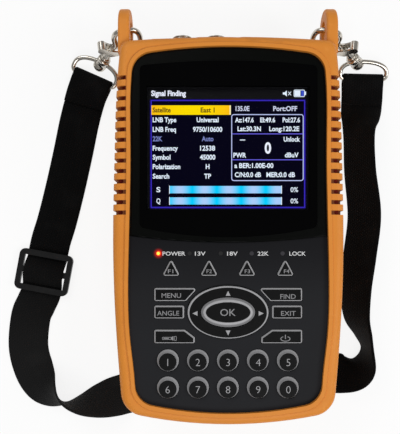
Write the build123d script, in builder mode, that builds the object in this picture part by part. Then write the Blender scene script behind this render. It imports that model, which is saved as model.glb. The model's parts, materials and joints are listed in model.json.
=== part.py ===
from build123d import *
from math import cos, radians, sin
import os

os.makedirs("parts", exist_ok=True)

# Handheld satellite signal meter in a rubber boot, with its carrying strap.
# It lies on its back: +Z is the way the face looks, +Y the end with the ears.

# Boot
half_width = 51.4
top_end = 85.6
bottom_end = -87.2
top_sag = 1.9
bottom_sag = 5.6
corner_half_top = 47.9
corner_half_bottom = 47.1
boot_corner_top = 4.6
boot_corner_bottom = 11.0
boot_front = 41.2
boot_wall = 2.6
boot_floor = 2.4
front_round = 3.5
back_round = 3.4
bead_width = 1.8
bead_height = 0.8
bead_round = 0.35
side_shares = ((0.65, 0.975), (0.37, 0.988), (-0.02, 1.0), (-0.37, 0.988), (-0.7, 0.953))
chin_start = -46.0
chin_end = -90.0
chin_mid_rise = 3.7
chin_rise = 10.4
overrun = 5.0

# Window in the boot
window_top = 80.5
window_bottom = -81.7
window_half_top = 41.9
window_half_bottom = 41.2
window_top_sag = 3.8
window_bottom_sag = 5.2
window_half = 44.4
window_corner_top = 9.5
window_corner_bottom = 9.5
window_side_shares = (
    (0.75, 0.976),
    (0.45, 0.976),
    (0.0, 0.989),
    (-0.3, 1.0),
    (-0.6, 0.982),
    (-0.8, 0.94),
)

# Slots and grip ribs along the boot's sides
slot_count = 14
slot_pitch = 4.59
slot_first = 66.7
slot_width = 1.9
slot_inner_top = 45.5
slot_inner_lean = 1.2
slot_floor = 39.5
slot_low = 28.0
slot_depth = 1.5
rib_count = 15
rib_radius = 1.7
rib_depth = 0.45

# Ears for the hooks
ear_offset = 47.0
ear_thickness = 5.2
ear_radius = 9.6
ear_hole_radius = 4.25
ear_y = 92.0
ear_z = 27.0
ear_root = 6.0
ear_edge = 1.2

# Case shells
fit_gap = 0.1
case_wall = 2.0
case_end_wall = 3.6
parting = 30.0
plate_top = 39.8
plate_thickness = 2.0
rear_floor = 2.2
boss_radius = 3.0
boss_x_top = 40.0
boss_y_top = 74.2
boss_x_bottom = 38.6
boss_y_bottom = -68.0
case_screw_radius = 1.25
case_screw_head = 2.5
case_screw_head_height = 1.6
case_screw_end = 36.4
low_screw_lift = 4.8
screw_gap = 0.06

# Raised screen bezel and lens
bezel_height = 0.9
bezel_edge = 0.5
bezel_inset = 0.5
shoulder_side = -2.2
shoulder_middle = -6.2
lens_half = 39.2
lens_top = 74.2
lens_top_sag = 2.2
lens_side_bottom = 0.7
lens_bottom = -3.7
lens_corner = 2.2
lens_thickness = 1.6
lens_seat_depth = 1.5

# Screen
screen_y = 35.3
screen_width = 70.1
screen_height = 52.6
screen_border = 1.0
panel_width = 76.6
panel_height = 63.6
panel_thickness = 3.2
frame_wall = 0.8
frame_gap = 0.2
frame_lip = 6.0

# Keys
key_gap = 0.25
key_flange = 0.6
flange_thickness = 1.0
key_rise = 1.0
key_slope = 0.78
key_corner = 0.85
f_key_width = 8.0
f_key_height = 7.6
f_key_bottom = -20.9
f_key_corner = 0.85
f_key_xs = (-25.4, -8.6, 8.2, 25.2)
row_left = -32.9
row_right = 32.7
menu_top = -26.3
menu_bottom = -32.1
menu_reach = -13.6
menu_foot = -18.9
find_reach = 13.2
find_foot = 18.6
angle_top = -34.1
angle_bottom = -39.8
angle_reach = -19.6
exit_reach = 19.3
torch_top = -44.8
torch_bottom = -50.8
torch_shoulder = -19.4
torch_reach = -14.9
torch_drop = -48.2
power_shoulder = 19.3
power_reach = 14.5
digit_radius = 4.85
digit_top_radius = 3.8
digit_lean = 0.5
digit_rise = 2.1
digit_edge = 0.3
digit_x = 13.28
digit_centre = -0.25
digit_row_one = -58.4
digit_row_two = -70.4
digit_flange = 5.5

# Navigation ring, its gimbal and the OK key
nav_x = -0.2
nav_y = -37.0
nav_half_x = 17.9
nav_half_y = 11.65
nav_rise = 1.3
nav_edge = 0.5
nav_gap = 0.35
nav_flange = 0.8
nav_flange_thickness = 0.9
nav_drop = 1.0
nav_recess = 3.4
nav_recess_top = 0.6
ok_half_x = 11.9
ok_half_y = 6.55
ok_rise = 2.0
ok_top_inset = 2.3
ok_gap = 0.3
ok_clear = 0.9
gimbal_width = 1.9
gimbal_gap = 0.7
gimbal_thickness = 0.6
gimbal_seat_gap = 0.05
gimbal_bump = 1.0

# Keypad mat, board and domes
mat_thickness = 0.9
mat_pip_height = 0.6
mat_pip_radius = 1.5
mat_half = 35.2
mat_top = -7.5
mat_bottom = -76.4
board_thickness = 1.2
dome_radius = 3.0
dome_height = 0.3
stack_gap = 2.8
post_radius = 1.6
post_x = 32.8
post_y_top = -19.6
post_y_bottom = -64.4
post_gap = 0.3
small_screw_radius = 0.75
small_screw_head = 1.5
small_screw_head_height = 1.2
small_screw_reach = 2.6

# Indicator lights
led_y = -11.0
led_xs = (-17.2, -3.4, 10.3, 24.0)
power_led_x = -31.0
led_radius = 0.95
led_flange_radius = 1.5
led_flange_height = 0.9
led_proud = 0.15
led_gap = 0.05

# Main board and what it carries
main_board_bottom = 24.0
main_board_thickness = 1.6
main_board_half = 36.4
main_board_top = 76.0
main_board_end = -60.0
standoff_radius = 2.8
standoff_x = 33.0
standoff_y_top = 38.0
standoff_y_bottom = -50.0
battery_width = 56.0
battery_length = 57.0
battery_height = 15.6
battery_centre = -10.5
battery_round = 2.0
cover_width = 64.0
cover_length = 70.0
cover_centre = -9.0
cover_thickness = 1.6
cover_gap = 0.2
cover_corner = 4.0
cover_opening_width = 58.0
cover_opening_length = 59.0
cover_screw_x = 24.0
cover_screw_inset = 3.2
cover_boss_height = 4.6
cover_boss_radius = 2.2
cover_screw_reach = 3.0
speaker_radius = 13.0
speaker_height = 4.6
speaker_y = 44.0
speaker_cone_radius = 10.0
speaker_cone_depth = 1.6
speaker_cone_angle = 23.0
grille_radius = 0.9
grille_ring = 4.2
grille_count = 6

# Connector panel in the top end
panel_z = 19.0
panel_half = 38.6
panel_low = 10.0
panel_high = 28.0
panel_face = 81.4
panel_corner = 3.0
f_thread_radius = 4.76
f_thread_end = 91.5
f_relief = 0.5
f_core_radius = 3.6
f_core_depth = 7.0
f_pin_radius = 1.1
f_pin_end_gap = 0.4
nut_flats = 11.1
nut_height = 2.4
lnb_input_x = -21.0
lnb_loop_x = -5.0
can_left = -28.5
can_right = 2.5
can_rear = 46.0
can_front = 76.4
can_round = 1.0
jack_back = 66.0
av_x = 9.6
av_width = 7.6
av_bore = 1.8
av_collar = 3.0
dc_x = 19.0
dc_width = 9.0
dc_bore = 2.9
dc_pin = 1.05
usb_x = 30.2
usb_width = 13.1
usb_height = 5.8
usb_shell = 0.5
usb_depth = 9.0
usb_tongue = 1.8
torch_x = -32.6
torch_radius = 2.6
torch_flange = 3.3
torch_flange_height = 1.2
torch_dome = 0.9

# Strap, slider and hooks
strap_width = 20.0
strap_thickness = 1.3
strap_lift = 0.05
bar_radius = 1.1
bar_gap = 0.1
bar_z = 3.05
loop_half = 11.5
hub_z = 5.6
hub_radius = 3.2
hub_length = 7.6
post_pin_radius = 1.6
pin_gap = 0.08
collar_radius = 2.4
collar_height = 1.6
rivet_height = 1.1
rivet_radius = 2.4
wire_radius = 1.3
left_bar = (-66.25, 76.45)
left_bar_angle = -24.8
left_hub_shift = 1.3
left_loop_height = 8.8
right_bar = (68.9, 76.55)
right_bar_angle = -2.1
right_hub_shift = -4.6
right_loop_height = 7.8
hook_turn = 10.0
slider_width = 27.0
slider_length = 20.6
slider_thickness = 2.0
slider_slot_width = 21.6
slider_slot_length = 5.9
slider_corner = 3.0
slider_bar = 3.0
slider_seat = 0.2
slider_angle = 10.5
slider_x = -90.9
slider_y = -20.3


def side_half(y):
    """Half-width of the boot at a place along its length, by straight steps."""
    stations = [(top_end - top_sag, corner_half_top)]
    stations += [(a * top_end, b * half_width) for a, b in side_shares]
    stations += [(bottom_end + bottom_sag, corner_half_bottom)]
    for (y1, w1), (y2, w2) in zip(stations, stations[1:]):
        if y2 <= y <= y1:
            return w1 + (w2 - w1) * (y1 - y) / (y1 - y2)
    return stations[-1][1]


def body_face(inset, end_inset):
    """Bowed outline of the body, drawn in from the boot's outer face."""
    top_y = top_end - end_inset
    low_y = bottom_end + inset
    top_x = corner_half_top - inset
    low_x = corner_half_bottom - inset
    sides = [(b * half_width - inset, a * top_end) for a, b in side_shares]
    with BuildSketch() as outline:
        with BuildLine():
            ThreePointArc((-top_x, top_y - top_sag), (0, top_y), (top_x, top_y - top_sag))
            Spline((top_x, top_y - top_sag), *sides, (low_x, low_y + bottom_sag))
            ThreePointArc((low_x, low_y + bottom_sag), (0, low_y), (-low_x, low_y + bottom_sag))
            Spline(
                (-low_x, low_y + bottom_sag),
                *[(-x, y) for x, y in reversed(sides)],
                (-top_x, top_y - top_sag),
            )
        make_face()
        fillet(outline.vertices().sort_by(Axis.Y)[-2:], max(boot_corner_top - inset, ear_edge))
        fillet(outline.vertices().sort_by(Axis.Y)[:2], boot_corner_bottom - inset)
    return outline.sketch


def window_face(inset):
    """Outline of the boot's window, drawn in by inset."""
    top_y = window_top - inset
    low_y = window_bottom + inset
    top_x = window_half_top - inset
    low_x = window_half_bottom - inset
    sides = [(b * window_half - inset, a * window_top) for a, b in window_side_shares]
    with BuildSketch() as outline:
        with BuildLine():
            ThreePointArc((-top_x, top_y - window_top_sag), (0, top_y), (top_x, top_y - window_top_sag))
            Spline((top_x, top_y - window_top_sag), *sides, (low_x, low_y + window_bottom_sag))
            ThreePointArc(
                (low_x, low_y + window_bottom_sag),
                (0, low_y),
                (-low_x, low_y + window_bottom_sag),
            )
            Spline(
                (-low_x, low_y + window_bottom_sag),
                *[(-x, y) for x, y in reversed(sides)],
                (-top_x, top_y - window_top_sag),
            )
        make_face()
        fillet(outline.vertices().sort_by(Axis.Y)[-2:], window_corner_top - inset)
        fillet(outline.vertices().sort_by(Axis.Y)[:2], window_corner_bottom - inset)
    return outline.sketch


def lens_face(grow):
    """Outline of the screen lens, grown by grow."""
    edge = lens_half + grow
    high = lens_top - lens_top_sag + grow
    low = lens_side_bottom - grow
    with BuildSketch() as outline:
        with BuildLine():
            ThreePointArc((-edge, high), (0, lens_top + grow), (edge, high))
            Line((edge, high), (edge, low))
            ThreePointArc((edge, low), (0, lens_bottom - grow), (-edge, low))
            Line((-edge, low), (-edge, high))
        make_face()
        fillet(outline.vertices(), lens_corner + grow)
    return outline.sketch


def chin_face(lift):
    """Section of the curved space under the lower end, raised by lift."""
    middle = (chin_start + chin_end) / 2
    with BuildSketch() as outline:
        with BuildLine():
            ThreePointArc(
                (chin_start, lift),
                (middle, lift + chin_mid_rise),
                (chin_end, lift + chin_rise),
            )
            Line((chin_end, lift + chin_rise), (chin_end, -overrun))
            Line((chin_end, -overrun), (chin_start, -overrun))
            Line((chin_start, -overrun), (chin_start, lift))
        make_face()
    return outline.sketch


def body_block(inset, end_inset, low, high):
    """Bowed block between two heights, hollowed under the lower end."""
    with BuildPart() as block:
        with BuildSketch(Plane.XY.offset(low)):
            add(body_face(inset, end_inset))
        extrude(amount=high - low)
        with BuildSketch(Plane.YZ):
            add(chin_face(low))
        extrude(amount=half_width + overrun, both=True, mode=Mode.SUBTRACT)
    return block.part


# Heights of the stack under the face plate
plate_bottom = plate_top - plate_thickness
flange_bottom = plate_bottom - flange_thickness
mat_face = plate_bottom - stack_gap
mat_underside = mat_face - mat_thickness
domes_bottom = mat_underside - dome_height
board_bottom = domes_bottom - board_thickness
bezel_top = plate_top + bezel_height
lens_seat = bezel_top - lens_seat_depth
case_inset = boot_wall + fit_gap
shell_inset = case_inset + case_wall
case_floor = boot_floor + rear_floor

# Places of keys
digit_places = [
    (digit_centre + (i - 2) * digit_x, row)
    for row in (digit_row_one, digit_row_two)
    for i in range(5)
]
digit_names = ["1", "2", "3", "4", "5", "6", "7", "8", "9", "0"]
slant_keys = {
    "menu_key": [
        (row_left, menu_bottom),
        (menu_foot, menu_bottom),
        (menu_reach, menu_top),
        (row_left, menu_top),
    ],
    "find_key": [
        (find_foot, menu_bottom),
        (row_right, menu_bottom),
        (row_right, menu_top),
        (find_reach, menu_top),
    ],
    "angle_key": [
        (row_left, angle_bottom),
        (angle_reach, angle_bottom),
        (angle_reach, angle_top),
        (row_left, angle_top),
    ],
    "exit_key": [
        (exit_reach, angle_bottom),
        (row_right, angle_bottom),
        (row_right, angle_top),
        (exit_reach, angle_top),
    ],
    "torch_key": [
        (row_left, torch_bottom),
        (torch_reach, torch_bottom),
        (torch_reach, torch_drop),
        (torch_shoulder, torch_top),
        (row_left, torch_top),
    ],
    "power_key": [
        (power_reach, torch_bottom),
        (row_right, torch_bottom),
        (row_right, torch_top),
        (power_shoulder, torch_top),
        (power_reach, torch_drop),
    ],
}
f_keys = {
    "f%d_key" % (i + 1): [
        (x - f_key_width / 2, f_key_bottom),
        (x + f_key_width / 2, f_key_bottom),
        (x, f_key_bottom + f_key_height),
    ]
    for i, x in enumerate(f_key_xs)
}
key_outlines = {name: (points, f_key_corner) for name, points in f_keys.items()}
key_outlines.update({name: (points, key_corner) for name, points in slant_keys.items()})


def key_face(points, corner, grow):
    """Rounded outline of one key, grown by grow on every side."""
    with BuildSketch() as outline:
        with BuildLine():
            Polyline(*points, close=True)
        make_face()
        fillet(outline.vertices(), corner)
        if grow:
            offset(amount=grow, kind=Kind.ARC)
    return outline.sketch


def ellipse_at(grow, half_x, half_y, mode=Mode.ADD):
    """Ellipse about the middle of the navigation ring."""
    with Locations((nav_x, nav_y)):
        Ellipse(half_x + grow, half_y + grow, mode=mode)


# Protective boot
cavity = body_block(boot_wall, boot_wall, boot_floor, plate_top)
with BuildPart() as protective_boot:
    with BuildSketch():
        add(body_face(0, 0))
    extrude(amount=boot_front)
    fillet(protective_boot.faces().sort_by(Axis.Z)[-1].edges(), front_round)
    fillet(protective_boot.faces().sort_by(Axis.Z)[0].edges(), back_round)
    with BuildSketch(Plane.XY.offset(boot_front - bead_height)):
        add(window_face(-bead_width))
    extrude(amount=2 * bead_height)
    fillet(protective_boot.faces().sort_by(Axis.Z)[-1].edges(), bead_round)
    with BuildSketch(Plane.YZ):
        add(chin_face(0))
    extrude(amount=half_width + overrun, both=True, mode=Mode.SUBTRACT)
    with BuildSketch(Plane.YZ.offset(ear_offset - ear_thickness / 2)) as ear_sketch:
        with Locations((ear_y, ear_z)):
            Circle(ear_radius)
        with Locations(((ear_y + top_end - ear_root) / 2, ear_z)):
            Rectangle(ear_y - top_end + ear_root, 2 * ear_radius)
    extrude(amount=ear_thickness)
    with BuildSketch(Plane.YZ.offset(-ear_offset - ear_thickness / 2)):
        add(ear_sketch.sketch_local)
    extrude(amount=ear_thickness)
    ear_rims = protective_boot.edges().filter_by(GeomType.CIRCLE)
    ear_rims = ear_rims.filter_by(lambda e: abs(e.radius - ear_radius) < ear_edge and e.center().Y > ear_y)
    fillet(ear_rims, ear_edge)
    with Locations(Location((-half_width - overrun, ear_y, ear_z), (0, 90, 0))):
        Cylinder(
            ear_hole_radius,
            2 * (half_width + overrun),
            align=(Align.CENTER, Align.CENTER, Align.MIN),
            mode=Mode.SUBTRACT,
        )
    add(cavity, mode=Mode.SUBTRACT)
    with BuildSketch(Plane.XY.offset(plate_top - bead_height)):
        add(window_face(0))
    extrude(amount=boot_front, mode=Mode.SUBTRACT)
    for side in (-1, 1):
        for i in range(slot_count):
            y = slot_first - i * slot_pitch
            inner = slot_inner_top + slot_inner_lean * i / slot_count
            outer = side_half(y)
            with BuildSketch(Plane.XY.offset(slot_floor)):
                with Locations((side * (inner + half_width + overrun) / 2, y)):
                    SlotOverall(half_width + overrun - inner, slot_width)
            extrude(amount=boot_front, mode=Mode.SUBTRACT)
            with BuildSketch(Plane.XY.offset(slot_low)):
                with Locations((side * (outer - slot_depth + overrun / 2), y)):
                    Rectangle(overrun, slot_width)
            extrude(amount=boot_front, mode=Mode.SUBTRACT)
        for i in range(rib_count):
            y = slot_first - (slot_count + i) * slot_pitch - slot_pitch / 2
            with BuildSketch(Plane.XY.offset(-overrun)):
                with Locations((side * (side_half(y) + rib_radius - rib_depth), y)):
                    Circle(rib_radius)
            extrude(amount=boot_front - front_round + overrun, mode=Mode.SUBTRACT)
    with BuildSketch(Plane.XZ.offset(-panel_face)):
        with Locations((0, (panel_low + panel_high) / 2)):
            RectangleRounded(2 * panel_half, panel_high - panel_low, panel_corner)
    extrude(amount=-(top_end - panel_face + overrun), mode=Mode.SUBTRACT)
    with BuildSketch():
        with Locations((0, speaker_y)):
            Circle(grille_radius)
            with PolarLocations(grille_ring, grille_count):
                Circle(grille_radius)
    extrude(amount=boot_floor, mode=Mode.SUBTRACT)
protective_boot.part.label = "protective_boot"
export_step(protective_boot.part, "parts/protective_boot.step")

# Places shared by the shells
boss_places = [
    (-boss_x_top, boss_y_top),
    (boss_x_top, boss_y_top),
    (-boss_x_bottom, boss_y_bottom),
    (boss_x_bottom, boss_y_bottom),
]
post_places = [(-post_x, post_y_top), (post_x, post_y_top), (-post_x, post_y_bottom), (post_x, post_y_bottom)]
standoff_places = [
    (-standoff_x, standoff_y_top),
    (standoff_x, standoff_y_top),
    (-standoff_x, standoff_y_bottom),
    (standoff_x, standoff_y_bottom),
]
cover_screw_y = cover_centre + cover_length / 2 - cover_screw_inset
cover_screw_places = [(-cover_screw_x, cover_screw_y), (cover_screw_x, cover_screw_y)]

# Rear case
rear_block = body_block(case_inset, case_inset, boot_floor, parting)
rear_hollow = body_block(shell_inset, case_inset + case_end_wall, case_floor, parting + overrun)
with BuildPart() as rear_case:
    add(rear_block)
    add(rear_hollow, mode=Mode.SUBTRACT)
    for places, lift in ((boss_places[:2], 0), (boss_places[2:], low_screw_lift)):
        with BuildSketch(Plane.XY.offset(boot_floor + lift)):
            with Locations(*places):
                Circle(boss_radius)
        extrude(amount=parting - boot_floor - lift)
    with BuildSketch(Plane.XY.offset(case_floor - case_wall / 2)):
        with Locations(*standoff_places):
            Circle(standoff_radius)
    extrude(amount=main_board_bottom - case_floor + case_wall / 2)
    with BuildSketch(Plane.XY.offset(boot_floor + cover_thickness)):
        with Locations(*cover_screw_places):
            Circle(cover_boss_radius)
    extrude(amount=cover_boss_height)
    with BuildSketch(Plane.XY.offset(-overrun)):
        with Locations(*boss_places):
            Circle(case_screw_radius + screw_gap)
    extrude(amount=parting + 2 * overrun, mode=Mode.SUBTRACT)
    for places, lift in ((boss_places[:2], 0), (boss_places[2:], low_screw_lift)):
        with BuildSketch(Plane.XY.offset(-overrun)):
            with Locations(*places):
                Circle(case_screw_head + screw_gap)
        extrude(amount=boot_floor + lift + case_screw_head_height + overrun, mode=Mode.SUBTRACT)
    with BuildSketch(Plane.XY.offset(main_board_bottom - 2 * small_screw_reach)):
        with Locations(*standoff_places):
            Circle(small_screw_radius + screw_gap)
    extrude(amount=2 * small_screw_reach + overrun, mode=Mode.SUBTRACT)
    with BuildSketch(Plane.XY.offset(boot_floor)):
        with Locations((0, cover_centre)):
            RectangleRounded(cover_width + 2 * cover_gap, cover_length + 2 * cover_gap, cover_corner)
    extrude(amount=cover_thickness, mode=Mode.SUBTRACT)
    with BuildSketch(Plane.XY.offset(boot_floor)):
        with Locations((0, cover_centre - cover_screw_inset)):
            RectangleRounded(cover_opening_width, cover_opening_length, cover_corner)
    extrude(amount=rear_floor + overrun / 2, mode=Mode.SUBTRACT)
    with BuildSketch(Plane.XY.offset(boot_floor)):
        with Locations(*cover_screw_places):
            Circle(small_screw_radius + screw_gap)
    extrude(amount=cover_thickness + cover_screw_reach + screw_gap, mode=Mode.SUBTRACT)
    with BuildSketch(Plane.XY.offset(boot_floor)):
        with Locations((0, speaker_y)):
            Circle(grille_radius)
            with PolarLocations(grille_ring, grille_count):
                Circle(grille_radius)
    extrude(amount=rear_floor, mode=Mode.SUBTRACT)
    with BuildSketch(Plane.XZ.offset(-panel_face)):
        with Locations((0, (panel_low + panel_high) / 2)):
            RectangleRounded(2 * panel_half, panel_high - panel_low, panel_corner)
    extrude(amount=-(top_end - panel_face), mode=Mode.SUBTRACT)
    with BuildSketch(Plane.XZ.offset(-panel_face)):
        with Locations((lnb_input_x, panel_z), (lnb_loop_x, panel_z)):
            Circle(f_thread_radius - f_relief + screw_gap)
        with Locations((av_x, panel_z)):
            Circle(av_collar + screw_gap)
        with Locations((dc_x, panel_z)):
            Circle(dc_bore + case_wall / 2 + screw_gap)
        with Locations((usb_x, panel_z)):
            Rectangle(usb_width + 2 * screw_gap, usb_height + 2 * screw_gap)
        with Locations((torch_x, panel_z)):
            Circle(torch_radius + screw_gap)
    extrude(amount=case_end_wall + overrun / 2, mode=Mode.SUBTRACT)
rear_case.part.label = "rear_case"
export_step(rear_case.part, "parts/rear_case.step")

# Front case with the raised bezel and every key opening
with BuildPart() as front_case:
    with BuildSketch(Plane.XY.offset(parting)):
        add(body_face(case_inset, case_inset))
    extrude(amount=plate_top - parting)
    with BuildSketch(Plane.XY.offset(parting)):
        add(body_face(shell_inset, case_inset + case_end_wall))
    extrude(amount=plate_bottom - parting, mode=Mode.SUBTRACT)
    with BuildSketch(Plane.XY.offset(plate_top)):
        add(window_face(bezel_inset))
        with BuildLine():
            ThreePointArc((-half_width, shoulder_side), (0, shoulder_middle), (half_width, shoulder_side))
            Line((half_width, shoulder_side), (half_width, top_end))
            Line((half_width, top_end), (-half_width, top_end))
            Line((-half_width, top_end), (-half_width, shoulder_side))
        make_face(mode=Mode.INTERSECT)
    extrude(amount=bezel_height)
    fillet(front_case.faces().sort_by(Axis.Z)[-1].edges(), bezel_edge)
    with BuildSketch(Plane.XY.offset(lens_seat)):
        add(lens_face(fit_gap))
    extrude(amount=lens_seat_depth + overrun, mode=Mode.SUBTRACT)
    with BuildSketch(Plane.XY.offset(plate_bottom)):
        with Locations((0, screen_y)):
            Rectangle(screen_width + 2 * screen_border, screen_height + 2 * screen_border)
    extrude(amount=plate_thickness, mode=Mode.SUBTRACT)
    for points, corner in key_outlines.values():
        with BuildSketch(Plane.XY.offset(plate_bottom)):
            add(key_face(points, corner, key_gap))
        extrude(amount=plate_thickness, mode=Mode.SUBTRACT)
    with BuildSketch(Plane.XY.offset(plate_bottom)):
        with Locations(*digit_places):
            Circle(digit_radius + key_gap)
        ellipse_at(nav_gap, nav_half_x, nav_half_y)
        with Locations(*[(x, led_y) for x in (power_led_x, *led_xs)]):
            Circle(led_radius + led_gap)
    extrude(amount=plate_thickness, mode=Mode.SUBTRACT)
    with BuildSketch(Plane.XY.offset(domes_bottom)):
        with Locations(*post_places):
            Circle(post_radius)
    extrude(amount=plate_bottom - domes_bottom)
    with BuildSketch(Plane.XY.offset(parting)):
        with Locations(*boss_places):
            Circle(boss_radius)
    extrude(amount=plate_bottom - parting)
    with BuildSketch(Plane.XY.offset(domes_bottom)):
        with Locations(*post_places):
            Circle(small_screw_radius + screw_gap)
    extrude(amount=small_screw_reach + 2 * screw_gap, mode=Mode.SUBTRACT)
    with BuildSketch(Plane.XY.offset(parting)):
        with Locations(*boss_places):
            Circle(case_screw_radius + screw_gap)
    extrude(amount=case_screw_end - parting + screw_gap, mode=Mode.SUBTRACT)
front_case.part.label = "front_case"
export_step(front_case.part, "parts/front_case.step")

# Screws of the case
with BuildPart() as case_screws:
    for places, lift in ((boss_places[:2], 0), (boss_places[2:], low_screw_lift)):
        with BuildSketch(Plane.XY.offset(boot_floor + lift)):
            with Locations(*places):
                Circle(case_screw_head)
        extrude(amount=case_screw_head_height)
        with BuildSketch(Plane.XY.offset(boot_floor + lift + case_screw_head_height)):
            with Locations(*places):
                Circle(case_screw_radius)
        extrude(amount=case_screw_end - boot_floor - lift - case_screw_head_height)
case_screws.part.label = "case_screws"
export_step(case_screws.part, "parts/case_screws.step")

# Battery cover and its screws
with BuildPart() as battery_cover:
    with BuildSketch(Plane.XY.offset(boot_floor)):
        with Locations((0, cover_centre)):
            RectangleRounded(cover_width, cover_length, cover_corner)
    extrude(amount=cover_thickness)
    with BuildSketch(Plane.XY.offset(boot_floor)):
        with Locations(*cover_screw_places):
            Circle(small_screw_radius + screw_gap)
    extrude(amount=cover_thickness, mode=Mode.SUBTRACT)
    with BuildSketch(Plane.XY.offset(boot_floor)):
        with Locations(*cover_screw_places):
            Circle(small_screw_head + screw_gap)
    extrude(amount=cover_thickness / 2, mode=Mode.SUBTRACT)
battery_cover.part.label = "battery_cover"
export_step(battery_cover.part, "parts/battery_cover.step")

with BuildPart() as battery_cover_screws:
    with BuildSketch(Plane.XY.offset(boot_floor)):
        with Locations(*cover_screw_places):
            Circle(small_screw_head)
    extrude(amount=cover_thickness / 2)
    with BuildSketch(Plane.XY.offset(boot_floor + cover_thickness / 2)):
        with Locations(*cover_screw_places):
            Circle(small_screw_radius)
    extrude(amount=cover_thickness / 2 + cover_screw_reach)
battery_cover_screws.part.label = "battery_cover_screws"
export_step(battery_cover_screws.part, "parts/battery_cover_screws.step")

# Battery pack, resting on its cover
with BuildPart() as battery_pack:
    with BuildSketch(Plane.XY.offset(boot_floor + cover_thickness)):
        with Locations((0, battery_centre - cover_screw_inset + battery_round / 2)):
            Rectangle(battery_width, battery_length)
    extrude(amount=battery_height)
    fillet(battery_pack.edges().filter_by(Axis.Z), battery_round)
battery_pack.part.label = "battery_pack"
export_step(battery_pack.part, "parts/battery_pack.step")

# Lens
with BuildPart() as screen_lens:
    with BuildSketch(Plane.XY.offset(lens_seat)):
        add(lens_face(0))
    extrude(amount=lens_thickness)
screen_lens.part.label = "screen_lens"
export_step(screen_lens.part, "parts/screen_lens.step")

# Screen panel and its metal tray
with BuildPart() as lcd_panel:
    with BuildSketch(Plane.XY.offset(plate_bottom - panel_thickness)):
        with Locations((0, screen_y)):
            Rectangle(panel_width, panel_height)
    extrude(amount=panel_thickness)
lcd_panel.part.label = "lcd_panel"
export_step(lcd_panel.part, "parts/lcd_panel.step")

tray_grow = 2 * (frame_gap + frame_wall)
with BuildPart() as lcd_frame:
    with BuildSketch(Plane.XY.offset(plate_bottom - panel_thickness - frame_wall)):
        with Locations((0, screen_y)):
            Rectangle(panel_width + tray_grow, panel_height + tray_grow)
    extrude(amount=panel_thickness + frame_wall)
    with BuildSketch(Plane.XY.offset(plate_bottom - panel_thickness)):
        with Locations((0, screen_y)):
            Rectangle(panel_width + 2 * frame_gap, panel_height + 2 * frame_gap)
    extrude(amount=panel_thickness, mode=Mode.SUBTRACT)
    with BuildSketch(Plane.XY.offset(plate_bottom - panel_thickness - frame_wall)):
        with Locations((0, screen_y)):
            Rectangle(panel_width - 2 * frame_lip, panel_height - 2 * frame_lip)
    extrude(amount=frame_wall, mode=Mode.SUBTRACT)
lcd_frame.part.label = "lcd_frame"
export_step(lcd_frame.part, "parts/lcd_frame.step")

# Triangular and straight-edged keys
for name, (points, corner) in key_outlines.items():
    with BuildPart() as key:
        with BuildSketch(Plane.XY.offset(flange_bottom)):
            add(key_face(points, corner, key_flange))
        extrude(amount=flange_thickness)
        with BuildSketch(Plane.XY.offset(plate_bottom)):
            add(key_face(points, corner, 0))
        extrude(amount=plate_thickness)
        with BuildSketch(Plane.XY.offset(plate_top)):
            add(key_face(points, corner, 0))
        with BuildSketch(Plane.XY.offset(plate_top + key_rise)):
            add(key_face(points, corner, -key_slope))
        loft()
    key.part.label = name
    export_step(key.part, "parts/" + name + ".step")

# Round digit keys, each with a leaning cone for a cap
for (x, y), digit in zip(digit_places, digit_names):
    with BuildPart() as key:
        with BuildSketch(Plane.XY.offset(flange_bottom)):
            with Locations((x, y)):
                Circle(digit_flange)
        extrude(amount=flange_thickness)
        with BuildSketch(Plane.XY.offset(plate_bottom)):
            with Locations((x, y)):
                Circle(digit_radius)
        extrude(amount=plate_thickness)
        with BuildSketch(Plane.XY.offset(plate_top)):
            with Locations((x, y)):
                Circle(digit_radius)
        with BuildSketch(Plane.XY.offset(plate_top + digit_rise)):
            with Locations((x, y - digit_lean)):
                Circle(digit_top_radius)
        loft()
        fillet(key.faces().sort_by(Axis.Z)[-1].edges(), digit_edge)
    key.part.label = "digit_key_" + digit
    export_step(key.part, "parts/digit_key_" + digit + ".step")

# OK key
with BuildPart() as ok_key:
    with BuildSketch(Plane.XY.offset(mat_face + ok_clear)):
        ellipse_at(0, ok_half_x, ok_half_y)
    extrude(amount=plate_top + nav_rise - mat_face - ok_clear)
    with BuildSketch(Plane.XY.offset(plate_top + nav_rise)):
        ellipse_at(0, ok_half_x, ok_half_y)
    with BuildSketch(Plane.XY.offset(plate_top + ok_rise)):
        ellipse_at(-ok_top_inset, ok_half_x, ok_half_y)
    loft()
ok_key.part.label = "ok_key"
export_step(ok_key.part, "parts/ok_key.step")

# Navigation ring
nav_bottom = plate_bottom - nav_drop - nav_flange_thickness
recess_top = plate_bottom - nav_recess_top
with BuildPart() as nav_ring:
    with BuildSketch(Plane.XY.offset(nav_bottom)):
        ellipse_at(nav_flange, nav_half_x, nav_half_y)
    extrude(amount=nav_flange_thickness)
    with BuildSketch(Plane.XY.offset(nav_bottom)):
        ellipse_at(0, nav_half_x, nav_half_y)
    extrude(amount=plate_top + nav_rise - nav_bottom)
    fillet(nav_ring.faces().sort_by(Axis.Z)[-1].edges(), nav_edge)
    with BuildSketch(Plane.XY.offset(nav_bottom)):
        ellipse_at(ok_gap, ok_half_x, ok_half_y)
    extrude(amount=plate_top + nav_rise - nav_bottom, mode=Mode.SUBTRACT)
    with BuildSketch(Plane.XY.offset(nav_bottom)):
        ellipse_at(nav_recess, ok_half_x, ok_half_y)
    extrude(amount=recess_top - nav_bottom, mode=Mode.SUBTRACT)
nav_ring.part.label = "nav_ring"
export_step(nav_ring.part, "parts/nav_ring.step")

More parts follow.
